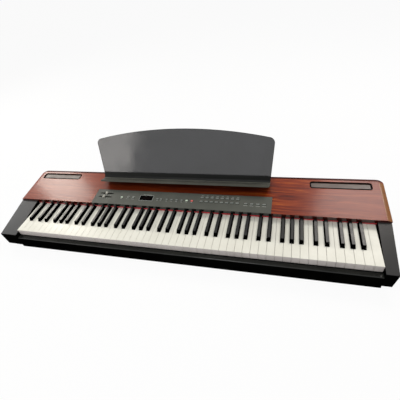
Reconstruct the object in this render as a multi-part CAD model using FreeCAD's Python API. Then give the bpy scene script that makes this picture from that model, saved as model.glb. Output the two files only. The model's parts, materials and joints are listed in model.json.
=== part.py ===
import FreeCAD, Part
import math
import os

# Digital stage piano: 88 hammer-weighted keys in a low case with a wooden lid,
# a control console let into the lid and a lift-off music rest.
# Millimetres. X runs to the treble end, Y to the back, Z up from the feet.
# The origin is the middle of the footprint, on the surface that the feet stand on.

# ---- Case ----
body_depth = 333.0          # foot of the front rail to the back panel
foot_height = 8.0
foot_radius = 13.0
foot_chamfer = 1.5
foot_inset_x = 100.0        # foot centre to the case's side
foot_inset_y = 40.0         # foot centre to the bottom board's front or back edge
board_thickness = 11.5
board_inset = 24.5          # case side to the bottom board's end
board_bevel = 12.0          # width of the bottom board's bevelled ends
cheek_width_left = 76.5     # at the lid
cheek_width_right = 37.5
key_end_gap = 2.25          # end key's outer edge to the end block
cheek_taper = 13.6          # how far the cheeks' outer faces lean in from the lid to the board
cheek_front_drop = 11.0     # cheek's front edge below the white keys' tops
cheek_front_lean = 4.0
cheek_edge_radius = 3.0
cheek_wall = 18.0           # side wall left by the pocket behind the lid's front edge
cheek_pocket_setback = 20.0 # lid's front edge to the pocket
cheek_pocket_floor = 4.0    # material left above the cheek screws
back_panel_thickness = 4.0

# ---- Front rail ----
rail_height = 44.5          # underside of the bottom board to the rail's front edge
rail_lean = 3.5             # rail's top edge behind its foot
rail_edge_radius = 3.5
rail_wall = 3.0
rail_flange = 20.0
rail_key_gap = 1.5          # rail's rear edge to the key fronts
rail_arc_steps = 6          # flats round the rail's front edge

# ---- Lid ----
lid_thickness = 8.0
lid_slope = 4.15            # degrees, rising to the back
lid_front_height = 23.0     # lid's front edge above the white keys' tops
lid_setback = 164.5         # foot of the front rail to the lid's front edge
lid_overhang = 3.0          # lid past the back panel
lid_corner_radius = 20.0
lid_bevel_width = 14.0      # shallow bevel along the lid's sides
lid_bevel_rear = 4.0        # and the steep one along its back
lid_bevel_drop = 4.0
lid_apron_height = 28.0     # turned-down back edge
lid_apron_thickness = 14.0
lid_tongue_height = 10.0    # tongue that the back panel laps
fascia_setback = 2.0
fascia_thickness = 4.5
fascia_height = 8.0
felt_height = 5.8
felt_thickness = 3.5

# ---- Keys ----
white_pitch = 23.5
white_count = 52
key_gap = 0.9               # between neighbouring white keys
key_setback = 20.5          # foot of the front rail to the key fronts
key_height = 71.5           # underside of the bottom board to the white keys' tops
key_dip = 10.0              # travel at the key's front edge
key_lip = 25.5              # height of a white key's front
key_body_height = 12.0
key_wall = 2.2
key_front_chamfer = 0.8
black_setback = 50.5        # white key front to black key front
black_height = 12.0
black_width = 11.5
black_top_width = 10.0
black_front_slope = 5.5
black_chamfer = 1.0
black_side_gap = 1.0
black_offset_pair = 3.3     # C sharp and D sharp off the joints between their white keys
black_offset_triple = 3.8   # F sharp and A sharp off theirs
cap_lid_gap = 1.0           # black key's rear face to the lid's front edge
tail_width = 9.0
tail_setback = 8.0          # lid's front edge to where the key tails begin
tail_overrun = 10.0         # tail behind the pivot
pivot_distance = 235.0      # key front to the key pivot
pivot_drop = 7.0            # key pivot below the white keys' tops
pivot_radius = 2.0
pivot_clearance = 0.08

# ---- Hammers ----
hammer_width = 5.0
hammer_pivot_distance = 150.0   # key front to the hammer pivot
hammer_pivot_drop = 38.0
hammer_tip_distance = 93.0      # key front to the hammer's tip
hammer_tip_length = 9.0
hammer_key_gap = 0.4
hammer_arm_height = 10.0
hammer_weight_length = 44.0
hammer_weight_height = 14.0
hammer_end_distance = 262.0
hammer_neck = 8.0

# ---- Key frame ----
frame_plate = 2.0
frame_start = 10.0          # key front to the frame's front edge
frame_end = 270.0
lug_thickness = 3.0
lug_edge_inset = 2.0        # key field's end to the middle of an end lug
lug_front_rise = 30.0
stop_rail_distance = 26.0
stop_rail_width = 8.0
stop_felt = 3.0
stop_gap = 0.3
top_stop_distance = 164.0
top_stop_width = 16.0
contact_distance = 78.0
contact_width = 22.0
contact_board_thickness = 1.6
contact_drop = 42.0
contact_strip_width = 8.0
contact_strip_height = 10.0

# ---- Console ----
console_center_x = -3.25
console_depth = 71.0
console_plate = 3.0
console_skirt = 3.0
console_fit = 0.3
button_rise = 1.5
button_depth = 4.3          # button's foot below the console's surface
button_travel = 0.8
button_fit = 0.3
button_chamfer = 0.5
switch_overtravel = 0.1     # a pressed button's foot to its switch
switch_size = 5.0
panel_board_drop = 8.5
panel_board_thickness = 1.6
panel_board_margin = 8.0
post_size = 4.0
display_x = 216.5           # all console places are measured from the console's left end
display_v = 37.5            # and from the lid's front edge
display_width = 52.0
display_depth = 24.0
display_thickness = 1.5
display_ledge = 2.0
slider_x = 45.0
slider_v = (51.0, 33.5)
slider_slot_length = 48.0
slider_slot_width = 3.0
slider_knob = (7.0, 9.0, 5.0)
slider_stem = (4.0, 2.0)
slider_lift = 0.5
slider_rest = (0.0, -5.0)   # knob from its slot's middle
demo_button_x = 116.0
tempo_button_x = 142.0
tempo_pitch = 21.0
lower_row_v = 35.5
upper_row_v = 53.5
song_pair_x = 262.0
song_pair_pitch = 14.0
song_button_x = 298.0
song_pitch = 19.0
song_count = 6
voice_button_x = 427.0
voice_pitch = 18.0
voice_count = 8
effect_button_x = 581.5
effect_pitch = 20.0
effect_count = 4
console_end_margin = 24.5   # last effect button to the console's right end
small_button = (8.0, 6.0)
voice_button = (11.0, 6.0)

# ---- Speakers ----
grille_length = 186.0
grille_depth = 30.5
grille_inset_left = 25.0
grille_inset_right = 35.75
grille_v = 135.5            # lid's front edge to the grille's middle
grille_corner = 8.0
grille_rim = 2.5
grille_recess = 0.8
grille_plate = 1.2
grille_flange = 2.5
grille_fit = 0.2
grille_slot_width = 3.2
grille_rows = 4
grille_columns = 10
grille_bar = 2.4
speaker_length = 150.0
speaker_depth = 40.0
speaker_plate = 2.0
cone_height = 20.0
magnet_radius = 18.0
magnet_height = 11.0

# ---- Music rest ----
rest_lean = 23.5            # degrees back from upright
rest_setback = 284.0        # foot of the front rail to the bend of the rest
rest_lift = 15.5            # bend of the rest above the lid
rest_half_width = 322.5
rest_top_half_width = 334.5
rest_side_height = 151.0
rest_height = 187.0
rest_corner_radius = 20.0
rest_panel_thickness = 4.0
ledge_depth = 37.5
ledge_thickness = 4.0
ledge_lip = 3.0
ledge_cove = 12.0           # hollow curve between the ledge and the channel
ledge_corner_radius = 6.0
channel_height = 23.5
channel_wall = 2.5
channel_fit = 0.1
prong_width = 60.0
prong_spacing = 220.0
prong_count = 3
prong_length = 38.0
socket_wall = 2.5
socket_fit = 0.2

# ---- Rear sockets and electrics ----
jack_height = 36.5          # underside of the bottom board to the sockets' middles
jack_insets = (522.0, 496.0, 460.0, 434.0, 398.0, 372.0)   # from the right end block
jack_radius = 3.2
jack_bush_radius = 5.5
jack_body = (15.0, 16.0, 15.0)
jack_bore_depth = 18.0
midi_insets = (332.0, 298.0)
midi_radius = 6.8
midi_ring_radius = 8.3
midi_body = (20.0, 16.0, 20.0)
midi_bore_depth = 9.0
socket_hole_fit = 0.2
inlet_inset = 94.5          # from the left end block
inlet_opening = (22.0, 15.0)
inlet_wall = 2.0
inlet_flange = 4.0
inlet_depth = 18.0
inlet_pin = (2.0, 10.0, 4.0)
inlet_pin_pitch = 7.0
inlet_pin_count = 3
power_inset = 154.5
power_button = (14.0, 9.0)
power_rise = 4.0
power_travel = 2.5
power_length = 14.0
main_board_insets = (552.0, 262.0)
main_board_thickness = 1.6
supply_insets = (54.5, 194.5)
supply_wall_gap = 3.0
supply_height = 34.0
chip_insets = (512.0, 442.0, 372.0, 312.0)
chip_size = 14.0
chip_height = 2.5

# ---- Fasteners ----
screw_radius = 1.5
screw_head_radius = 3.2
screw_head_height = 1.8
screw_fit = 0.1
screw_reach = 12.0
back_screw_inset = 53.25    # end block to the first screw
back_screw_count = 8
lid_screw_inset = 38.25
lid_screw_count = 6
cheek_screw_count = 3
cheek_screw_reach = 22.0
cheek_screw_recess = 6.0
cheek_screw_wall = 2.0      # end block's inner face to a right-hand screw
insert_inset_x = 120.25     # case side to a stand insert
insert_inset_y = 66.5       # case front and back to a stand insert
insert_radius = 4.5
insert_bore_radius = 2.55
insert_fit = 0.05

# ---- Cutting and picking ----
cut_margin = 1.0            # how far a cutting shape runs past what it cuts
pick_margin = 0.001         # tolerance when edges are picked by their place

# ---- Worked-out places ----
lean = math.radians(rest_lean)
rest_back = (rest_setback + (channel_wall + channel_fit + rest_panel_thickness) * math.cos(lean)
             + rest_height * math.sin(lean))
total_depth = max(rest_back, body_depth + lid_overhang)
front_y = -total_depth / 2
back_y = front_y + body_depth
body_width = cheek_width_left + white_count * white_pitch + 2 * key_end_gap + cheek_width_right
side_x = body_width / 2
inner_left = -side_x + cheek_width_left
inner_right = side_x - cheek_width_right
board_z = foot_height
board_top = board_z + board_thickness
key_top = board_z + key_height
rail_top = board_z + rail_height
key_y = front_y + key_setback
lid_y = front_y + lid_setback
lid_front_top = key_top + lid_front_height
slope = math.tan(math.radians(lid_slope))
keys_left = inner_left + key_end_gap
keys_right = inner_right - key_end_gap
panel_front_y = back_y - back_panel_thickness
pivot_y = key_y + pivot_distance
pivot_z = key_top - pivot_drop
hammer_y = key_y + hammer_pivot_distance
hammer_z = key_top - hammer_pivot_drop
rest_y = front_y + rest_setback
rest_z = lid_front_top + slope * (rest_y - lid_y) + rest_lift
jack_z = board_z + jack_height
jack_xs = [inner_right - inset for inset in jack_insets]
midi_xs = [inner_right - inset for inset in midi_insets]
inlet_x = inner_left + inlet_inset
power_x = inner_left + power_inset
console_width = effect_button_x + (effect_count - 1) * effect_pitch + console_end_margin
console_left = console_center_x - console_width / 2
console_right = console_center_x + console_width / 2
frame_top = board_top + frame_plate

note_names = ("c", "c_sharp", "d", "d_sharp", "e", "f", "f_sharp", "g", "g_sharp", "a", "a_sharp", "b")
black_offsets = {1: -black_offset_pair, 3: black_offset_pair, 6: -black_offset_triple, 8: 0.0,
                 10: black_offset_triple}
key_count = 88
lowest_note = 9             # the lowest key is an A


# ---- Small helpers ----
def box(x0, x1, y0, y1, z0, z1):
    return Part.makeBox(x1 - x0, y1 - y0, z1 - z0, FreeCAD.Vector(x0, y0, z0))


def block(x, y, width, depth, z0, z1):
    return box(x - width / 2, x + width / 2, y - depth / 2, y + depth / 2, z0, z1)


def face_of(points):
    kept = [p for i, p in enumerate(points) if p.distanceToPoint(points[i - 1]) > pick_margin]
    return Part.Face(Part.makePolygon(kept + [kept[0]]))


def side_prism(points, x0, x1):
    """A (y, z) outline pushed along X."""
    return face_of([FreeCAD.Vector(x0, y, z) for y, z in points]).extrude(FreeCAD.Vector(x1 - x0, 0, 0))


def front_prism(points, y0, y1):
    """An (x, z) outline pushed along Y."""
    return face_of([FreeCAD.Vector(x, y0, z) for x, z in points]).extrude(FreeCAD.Vector(0, y1 - y0, 0))


def plan_prism(points, z0, z1):
    """An (x, y) outline pushed along Z."""
    return face_of([FreeCAD.Vector(x, y, z0) for x, y in points]).extrude(FreeCAD.Vector(0, 0, z1 - z0))


def rod(x, y, z, radius, length, axis):
    return Part.makeCylinder(radius, length, FreeCAD.Vector(x, y, z), FreeCAD.Vector(*axis))


def join(pieces):
    return pieces[0].multiFuse(pieces[1:]).removeSplitter() if len(pieces) > 1 else pieces[0]


def edges_where(shape, test):
    return [edge for edge in shape.Edges if test(edge.BoundBox)]


def on_lid(shape):
    """Lid places are (x, distance behind the lid's front edge, height above its surface)."""
    placed = shape.copy()
    placed.rotate(FreeCAD.Vector(0, 0, 0), FreeCAD.Vector(1, 0, 0), lid_slope)
    placed.translate(FreeCAD.Vector(0, lid_y, lid_front_top))
    return placed


def on_rest(shape):
    """Rest places are measured from the bend, with Z up the leaning panel."""
    placed = shape.copy()
    placed.rotate(FreeCAD.Vector(0, 0, 0), FreeCAD.Vector(1, 0, 0), -rest_lean)
    placed.translate(FreeCAD.Vector(console_center_x, rest_y, rest_z))
    return placed


def export(name, shapes):
    solids = [solid for shape in shapes for solid in shape.Solids]
    shape = solids[0] if len(solids) == 1 else Part.makeCompound(solids)
    shape.exportStep(f"parts/{name}.step")
    print(name, len(solids), "solids, valid" if shape.isValid() else "solids, NOT VALID")


def spread(count, pitch):
    """Evenly spaced places about zero."""
    return [(i - (count - 1) / 2) * pitch for i in range(count)]


# ---- Fasteners and inserts: places shared by holes and screws ----
def between_ends(count, inset):
    """Evenly spaced places between the end blocks."""
    pitch = (inner_right - inner_left - 2 * inset) / (count - 1)
    return [inner_left + inset + i * pitch for i in range(count)]


def back_screw_places():
    z = board_z + board_thickness / 2
    return [(x, back_y, z) for x in between_ends(back_screw_count, back_screw_inset)]


def lid_screw_places():
    z = lid_apron_bottom() - lid_tongue_height / 2
    return [(x, back_y, z) for x in between_ends(lid_screw_count, lid_screw_inset)]


def cheek_screw_places():
    pitch = body_depth / (cheek_screw_count + 1)
    ys = [(front_y + back_y) / 2 + y for y in spread(cheek_screw_count, pitch)]
    left = -side_x + board_inset + board_bevel + screw_head_radius
    right = inner_right + cheek_screw_wall + screw_radius
    return [(x, y) for x in (left, right) for y in ys]


def insert_places():
    xs = (-side_x + insert_inset_x, side_x - insert_inset_x)
    ys = (front_y + insert_inset_y, back_y - insert_inset_y)
    return [(x, y) for x in xs for y in ys]


def back_screw(place):
    x, y, z = place
    head = rod(x, y, z, screw_head_radius, screw_head_height, (0, 1, 0))
    return join([head, rod(x, y, z, screw_radius, screw_reach, (0, -1, 0))])


def cheek_screw(place):
    x, y = place
    z = board_z + cheek_screw_recess
    head = rod(x, y, z - screw_head_height, screw_head_radius, screw_head_height, (0, 0, 1))
    return join([head, rod(x, y, z, screw_radius, cheek_screw_reach, (0, 0, 1))])


def back_screw_hole(place):
    x, y, z = place
    return rod(x, y + screw_fit, z, screw_radius + screw_fit, screw_reach + 2 * screw_fit, (0, -1, 0))


# ---- Case ----
def make_bottom_board():
    left = -side_x + board_inset
    right = side_x - board_inset
    board = front_prism([(left + board_bevel, board_z), (right - board_bevel, board_z), (right, board_top),
                         (left, board_top)], front_y + rail_lean + rail_wall, panel_front_y)
    holes = [back_screw_hole(place) for place in back_screw_places()]
    for x, y in cheek_screw_places():
        holes.append(rod(x, y, board_z, screw_head_radius + screw_fit, cheek_screw_recess, (0, 0, 1)))
        holes.append(rod(x, y, board_z, screw_radius + screw_fit, board_thickness, (0, 0, 1)))
    for x, y in insert_places():
        holes.append(rod(x, y, board_z, insert_radius + insert_fit, board_thickness, (0, 0, 1)))
    return board.cut(holes)


def make_front_rail():
    foot_y = front_y
    top_y = front_y + rail_lean
    rear_y = key_y - rail_key_gap
    inner_y = top_y + rail_wall
    corner = (top_y + rail_edge_radius, rail_top - rail_edge_radius)
    turns = [math.pi / 2 * i / rail_arc_steps for i in range(rail_arc_steps + 1)]
    arc = [(corner[0] - rail_edge_radius * math.cos(turn), corner[1] + rail_edge_radius * math.sin(turn))
           for turn in turns]
    outline = [(inner_y, board_z), (foot_y, board_z)] + arc
    outline += [(rear_y, rail_top), (rear_y, rail_top - rail_wall),
                (inner_y + rail_wall / 2, rail_top - rail_wall), (inner_y, board_top + rail_wall),
                (inner_y + rail_flange, board_top + rail_wall), (inner_y + rail_flange, board_top),
                (inner_y, board_top)]
    return side_prism(outline, inner_left, inner_right)


def plan_outline(inset):
    """Lid outline seen from above, with round rear corners, as a tall prism."""
    radius = lid_corner_radius - inset
    body = box(-side_x - inset, side_x + inset, front_y - cut_margin, back_y + lid_overhang - inset,
               0, 2 * key_top)
    corners = edges_where(body, lambda b: b.ZLength > key_top and b.YMin > back_y - lid_corner_radius)
    return body.makeFillet(radius, corners)


def make_cheek(outer_x, inner_x):
    top_front = key_top - cheek_front_drop
    join_z = lid_front_top - lid_thickness
    outline = [(front_y, board_top), (front_y + cheek_front_lean, top_front), (lid_y, join_z),
               (back_y, join_z + slope * (back_y - lid_y)), (back_y, board_top)]
    inward = math.copysign(cheek_taper, outer_x)
    ends = [(inner_x, board_top), (outer_x - inward, board_top), (outer_x, lid_front_top),
            (outer_x, lid_front_top * 2), (inner_x, lid_front_top * 2)]
    body = side_prism(outline, min(outer_x, inner_x), max(outer_x, inner_x))
    body = body.common(front_prism(ends, front_y, back_y))
    body = body.common(plan_outline(lid_overhang))
    nose = edges_where(body, lambda b: b.XLength > abs(outer_x - inner_x) - cheek_taper and b.YMax < key_y
                       and b.ZMin > top_front - cut_margin)
    body = body.makeFillet(cheek_edge_radius, nose)
    return body.cut([cheek_pocket(outer_x, inner_x)] + [
        rod(x, y, board_top, screw_radius + screw_fit, cheek_screw_reach, (0, 0, 1))
        for x, y in cheek_screw_places()])


def cheek_pocket(outer_x, inner_x):
    """Room beside the speaker, open to the top and to the middle of the case."""
    wall_x = outer_x - math.copysign(cheek_wall, outer_x)
    floor = board_top + cheek_screw_reach + cheek_pocket_floor
    rear_y = back_y + lid_overhang - lid_apron_thickness
    return box(min(wall_x, inner_x), max(wall_x, inner_x), lid_y + cheek_pocket_setback, rear_y,
               floor, lid_front_top * 2)


def lid_apron_bottom():
    return lid_front_top + slope * (back_y - lid_y) - lid_apron_height


def console_notch(clearance):
    """Space that the console fills, in lid places."""
    deep = lid_thickness + fascia_height * 2
    return box(console_left - clearance, console_right + clearance, -lid_thickness,
               console_depth + clearance, -deep, lid_thickness)


def grille_center_x(end):
    if end < 0:
        return -side_x + grille_inset_left + grille_length / 2
    return side_x - grille_inset_right - grille_length / 2


def rounded_plate(x, v, width, depth, low, high, radius):
    plate = block(x, v, width, depth, low, high)
    return plate.makeFillet(radius, edges_where(plate, lambda b: b.ZLength > high - low - pick_margin))


def lid_outline(rear, side_inset, rear_inset, height):
    """The lid's outline in lid places, square at the front and round at the back."""
    half = side_x - side_inset
    back = rear - rear_inset
    radius = lid_corner_radius - rear_inset
    chord = radius * (1 - math.sqrt(0.5))
    front = -lid_corner_radius
    points = [FreeCAD.Vector(x, v, height) for x, v in (
        (-half, front), (half, front), (half, back - radius), (half - chord, back - chord),
        (half - radius, back), (-half + radius, back), (-half + chord, back - chord),
        (-half, back - radius))]
    return Part.Wire([
        Part.makeLine(points[0], points[1]), Part.makeLine(points[1], points[2]),
        Part.Arc(points[2], points[3], points[4]).toShape(), Part.makeLine(points[4], points[5]),
        Part.Arc(points[5], points[6], points[7]).toShape(), Part.makeLine(points[7], points[0])])


def bevel_envelope(rear):
    """Room under the bevels along the lid's sides and back."""
    low = lid_outline(rear, 0, 0, -lid_bevel_drop)
    high = lid_outline(rear, lid_bevel_width, lid_bevel_rear, 0)
    below = box(-body_width, body_width, -lid_corner_radius, body_depth, -body_depth, -lid_bevel_drop)
    return join([Part.makeLoft([low, high], True, True), below])


def make_top_cover():
    rear = back_y + lid_overhang
    rear_top = lid_front_top + slope * (rear - lid_y)
    apron = lid_apron_bottom()
    inner = rear - lid_apron_thickness
    inner_top = lid_front_top - lid_thickness + slope * (inner - lid_y)
    outline = [(lid_y, lid_front_top), (rear, rear_top), (rear, apron), (inner, apron), (inner, inner_top),
               (lid_y, lid_front_top - lid_thickness)]
    board = side_prism(outline, -side_x, side_x)
    board = board.makeFillet(lid_corner_radius, edges_where(
        board, lambda b: b.YMin > rear - pick_margin and b.XLength < pick_margin
        and b.ZLength > lid_apron_height / 2))
    board = board.common(on_lid(bevel_envelope((rear - lid_y) / math.cos(math.radians(lid_slope)))))
    inner_cheeks = [box(-side_x, inner_left, inner, back_y, 0, inner_top + slope * (back_y - inner)),
                    box(inner_right, side_x, inner, back_y, 0, inner_top + slope * (back_y - inner))]
    fascia = box(inner_left, inner_right, lid_y + fascia_setback, lid_y + fascia_setback + fascia_thickness,
                 lid_front_top - lid_thickness - fascia_height, lid_front_top - lid_thickness + cut_margin)
    tongue = box(inner_left, inner_right, inner, panel_front_y, apron - lid_tongue_height, apron)
    board = board.cut(inner_cheeks)
    board = join([board, fascia, tongue])
    cuts = [on_lid(console_notch(console_fit))]
    for end in (-1, 1):
        cuts.append(on_lid(rounded_plate(grille_center_x(end), grille_v, grille_length, grille_depth,
                                         -2 * lid_thickness, lid_thickness, grille_corner)))
    cuts += [socket_outer(x, socket_fit / 2) for x in spread(prong_count, prong_spacing)]
    cuts += [back_screw_hole(place) for place in lid_screw_places()]
    return board.cut(cuts)


def make_felt_strip():
    top = lid_front_top - lid_thickness - fascia_height
    y = lid_y + fascia_setback + fascia_thickness - felt_thickness
    return box(inner_left, inner_right, y, y + felt_thickness, top - felt_height, top)


def make_rear_panel():
    panel = box(inner_left, inner_right, panel_front_y, back_y, board_z, lid_apron_bottom())
    holes = [back_screw_hole(place) for place in back_screw_places() + lid_screw_places()]
    rings = [(x, jack_bush_radius) for x in jack_xs] + [(x, midi_ring_radius) for x in midi_xs]
    holes += [rod(x, panel_front_y, jack_z, radius + socket_hole_fit, back_panel_thickness, (0, 1, 0))
              for x, radius in rings]
    inlet_x_half = inlet_opening[0] / 2 + inlet_wall + socket_hole_fit
    inlet_z_half = inlet_opening[1] / 2 + inlet_wall + socket_hole_fit
    holes.append(box(inlet_x - inlet_x_half, inlet_x + inlet_x_half, panel_front_y, back_y,
                     jack_z - inlet_z_half, jack_z + inlet_z_half))
    power_x_half = power_button[0] / 2 + button_fit
    power_z_half = power_button[1] / 2 + button_fit
    holes.append(box(power_x - power_x_half, power_x + power_x_half, panel_front_y, back_y,
                     jack_z - power_z_half, jack_z + power_z_half))
    return panel.cut(holes)


def make_feet():
    left = -side_x + foot_inset_x
    rows = (front_y + rail_lean + rail_wall + foot_inset_y, panel_front_y - foot_inset_y)
    feet = []
    for x in (left, (left + side_x - foot_inset_x) / 2, side_x - foot_inset_x):
        for y in rows:
            foot = rod(x, y, 0, foot_radius, foot_height, (0, 0, 1))
            rim = edges_where(foot, lambda b: b.ZMax < foot_height / 2 and b.XLength > foot_radius)
            feet.append(foot.makeChamfer(foot_chamfer, rim))
    return feet


def make_stand_inserts():
    return [rod(x, y, board_z, insert_radius, board_thickness, (0, 0, 1)).cut(
        rod(x, y, board_z, insert_bore_radius, board_thickness, (0, 0, 1))) for x, y in insert_places()]


# ---- Keys ----
def note_of(index):
    return (index + lowest_note) % 12


def is_black(index):
    return note_of(index) in black_offsets


def whites_before(index):
    return sum(1 for i in range(index) if not is_black(i))


def black_center(index):
    """A black key sits near the joint between the white keys on its two sides."""
    return keys_left + whites_before(index) * white_pitch + black_offsets[note_of(index)]


def rear_span(index):
    """Left and right edges of a white key behind the black keys' fronts."""
    left = keys_left + whites_before(index) * white_pitch + key_gap / 2
    right = left + white_pitch - key_gap
    reach = black_width / 2 + black_side_gap
    if index > 0 and is_black(index - 1):
        left = black_center(index - 1) + reach
    if index < key_count - 1 and is_black(index + 1):
        right = black_center(index + 1) - reach
    return left, right


def key_center(index):
    """Middle of a key's tail and of its hammer."""
    if is_black(index):
        return black_center(index)
    left, right = rear_span(index)
    return (left + right) / 2


def pivot_bore(x):
    radius = pivot_radius + pivot_clearance
    return rod(x - white_pitch, pivot_y, pivot_z, radius, 2 * white_pitch, (1, 0, 0))


def make_white_key(index):
    front_left = keys_left + whites_before(index) * white_pitch + key_gap / 2
    front_right = front_left + white_pitch - key_gap
    left, right = rear_span(index)
    center = key_center(index)
    notch_y = key_y + black_setback - black_side_gap
    tail_y = lid_y + tail_setback
    end_y = pivot_y + tail_overrun
    half = tail_width / 2
    plan = [(front_left, key_y), (front_right, key_y), (front_right, notch_y), (right, notch_y),
            (right, tail_y), (center + half, tail_y), (center + half, end_y), (center - half, end_y),
            (center - half, tail_y), (left, tail_y), (left, notch_y), (front_left, notch_y)]
    low = key_top - key_lip
    under = key_top - key_body_height
    side = [(key_y, low), (notch_y, low), (notch_y + key_body_height / 2, under), (end_y, under),
            (end_y, key_top), (key_y + key_front_chamfer, key_top), (key_y, key_top - key_front_chamfer)]
    key = plan_prism(plan, low, key_top).common(side_prism(side, front_left, front_right))
    hollow = box(front_left + key_wall, front_right - key_wall, key_y + key_wall, notch_y - key_wall,
                 low - cut_margin, key_top - key_wall)
    return key.cut([hollow, pivot_bore(center)])


def make_black_key(index):
    center = black_center(index)
    front = key_y + black_setback
    end_y = pivot_y + tail_overrun
    cap_end = lid_y - cap_lid_gap
    under = key_top - key_body_height
    peak = key_top + black_height
    side = [(front, under), (front, key_top + black_chamfer),
            (front + black_front_slope, peak - black_chamfer),
            (front + black_front_slope + black_chamfer, peak), (cap_end, peak), (cap_end, key_top),
            (end_y, key_top), (end_y, under)]
    half = black_width / 2
    top_half = black_top_width / 2
    across = [(center - half, under), (center + half, under), (center + half, key_top),
              (center + top_half, peak - black_chamfer), (center + top_half - black_chamfer, peak),
              (center - top_half + black_chamfer, peak), (center - top_half, peak - black_chamfer),
              (center - half, key_top)]
    key = side_prism(side, center - half, center + half).common(front_prism(across, front, end_y))
    return key.cut(pivot_bore(center))


def make_hammer(index):
    """An arm under the key: the key's belly pushes its tip down and its weight goes up."""
    center = key_center(index)
    tip_y = key_y + hammer_tip_distance
    tip_z = key_top - key_body_height - hammer_key_gap
    top = hammer_z + hammer_arm_height / 2
    low = hammer_z - hammer_arm_height / 2
    end_y = key_y + hammer_end_distance
    weight_y = end_y - hammer_weight_length
    weight_low = hammer_z - hammer_weight_height
    tip_rear = tip_y + hammer_tip_length
    neck_z = tip_z - hammer_neck
    arm_y = hammer_y - hammer_arm_height
    heel_y = weight_y - hammer_neck
    outline = [(tip_y, tip_z), (tip_rear, tip_z), (tip_rear, neck_z), (arm_y, top), (weight_y, top),
               (weight_y, hammer_z), (end_y, hammer_z), (end_y, weight_low), (heel_y, weight_low),
               (heel_y, low), (arm_y, low), (tip_y, neck_z)]
    arm = side_prism(outline, center - hammer_width / 2, center + hammer_width / 2)
    return arm.cut(rod(center - hammer_width, hammer_y, hammer_z, pivot_radius + pivot_clearance,
                       2 * hammer_width, (1, 0, 0)))


# ---- Key frame ----
def lug_places():
    joints = [keys_left + whites_before(i) * white_pitch for i in range(1, key_count) if note_of(i) == 0]
    return [keys_left + lug_edge_inset] + joints + [keys_right - lug_edge_inset]


def top_stop_z():
    return key_top + stop_gap + stop_felt


def make_key_frame():
    y0 = key_y + frame_start
    y1 = key_y + frame_end
    plate = box(keys_left, keys_right, y0, y1, board_top, frame_top)
    stop_y = key_y + stop_rail_distance
    stop_rail = box(keys_left, keys_right, stop_y, stop_y + stop_rail_width, frame_top, stop_rail_top())
    top_y = key_y + top_stop_distance
    top_bar = box(keys_left, keys_right, top_y, top_y + top_stop_width,
                  top_stop_z(), top_stop_z() + frame_plate)
    contact_y = key_y + contact_distance
    contact_rail = box(keys_left, keys_right, contact_y + contact_strip_width, contact_y + contact_width
                       - frame_plate, frame_top, key_top - contact_drop)
    rest_y0 = key_y + hammer_end_distance - hammer_arm_height
    rest_z1 = hammer_z - hammer_weight_height - stop_gap
    rest_bar = box(keys_left, keys_right, rest_y0, rest_y0 + hammer_arm_height, frame_top, rest_z1)
    lug_front = hammer_y - hammer_arm_height * 2
    lug_rear = pivot_y + tail_overrun + frame_plate
    rise = top_stop_z() + frame_plate
    front_rise = frame_top + lug_front_rise
    outline = [(lug_front, frame_top), (lug_rear, frame_top), (lug_rear, key_top),
               (top_y + top_stop_width, rise), (top_y, rise), (top_y, front_rise), (lug_front, front_rise)]
    lugs = [side_prism(outline, x - lug_thickness / 2, x + lug_thickness / 2) for x in lug_places()]
    frame = join([plate, stop_rail, top_bar, contact_rail, rest_bar] + lugs)
    span = keys_right - keys_left
    axes = ((pivot_y, pivot_z), (hammer_y, hammer_z))
    return frame.cut([rod(keys_left, y, z, pivot_radius, span, (1, 0, 0)) for y, z in axes])


def stop_rail_top():
    """The stop rail ends one felt and one gap below a fully pressed white key's lip."""
    lever = (pivot_distance - stop_rail_distance) / pivot_distance
    return key_top - key_lip - key_dip * lever - stop_gap - stop_felt


def make_pivot_rods():
    span = keys_right - keys_left
    return [rod(keys_left, pivot_y, pivot_z, pivot_radius, span, (1, 0, 0)),
            rod(keys_left, hammer_y, hammer_z, pivot_radius, span, (1, 0, 0))]


def make_stop_felts():
    stop_y = key_y + stop_rail_distance
    top_y = key_y + top_stop_distance
    lower = box(keys_left, keys_right, stop_y, stop_y + stop_rail_width, stop_rail_top(),
                stop_rail_top() + stop_felt)
    lug_xs = lug_places()
    upper = [box(a + lug_thickness / 2, b - lug_thickness / 2, top_y, top_y + top_stop_width,
                 top_stop_z() - stop_felt, top_stop_z()) for a, b in zip(lug_xs[:-1], lug_xs[1:])]
    return [lower] + upper


def make_contact_board():
    y = key_y + contact_distance
    z = key_top - contact_drop
    board = box(keys_left, keys_right, y, y + contact_width, z, z + contact_board_thickness)
    strip = box(keys_left, keys_right, y + contact_strip_width, y + 2 * contact_strip_width,
                z + contact_board_thickness, z + contact_board_thickness + contact_strip_height)
    return [board, strip]


# ---- Console, in lid places ----
def button_rows():
    """Name, cap size and places of each group of buttons."""
    song = [(song_pair_x + i * song_pair_pitch, lower_row_v) for i in range(2)]
    song += [(song_button_x + i * song_pitch, lower_row_v) for i in range(song_count)]
    voice = [voice_button_x + i * voice_pitch for i in range(voice_count)]
    return {
        "demo_button": (small_button, [(demo_button_x, lower_row_v)]),
        "tempo_buttons": (small_button, [(tempo_button_x + i * tempo_pitch, lower_row_v)
                                         for i in range(2)]),
        "song_buttons": (small_button, song),
        "voice_buttons_upper": (voice_button, [(x, upper_row_v) for x in voice]),
        "voice_buttons_lower": (voice_button, [(x, lower_row_v) for x in voice]),
        "effect_buttons": (voice_button, [(effect_button_x + i * effect_pitch, lower_row_v)
                                          for i in range(effect_count)]),
    }


def make_button(size, place):
    x = console_left + place[0]
    cap = block(x, place[1], size[0], size[1], -button_depth, button_rise)
    rim = edges_where(cap, lambda b: b.ZMin > button_rise - pick_margin)
    return on_lid(cap.makeChamfer(button_chamfer, rim))


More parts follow.
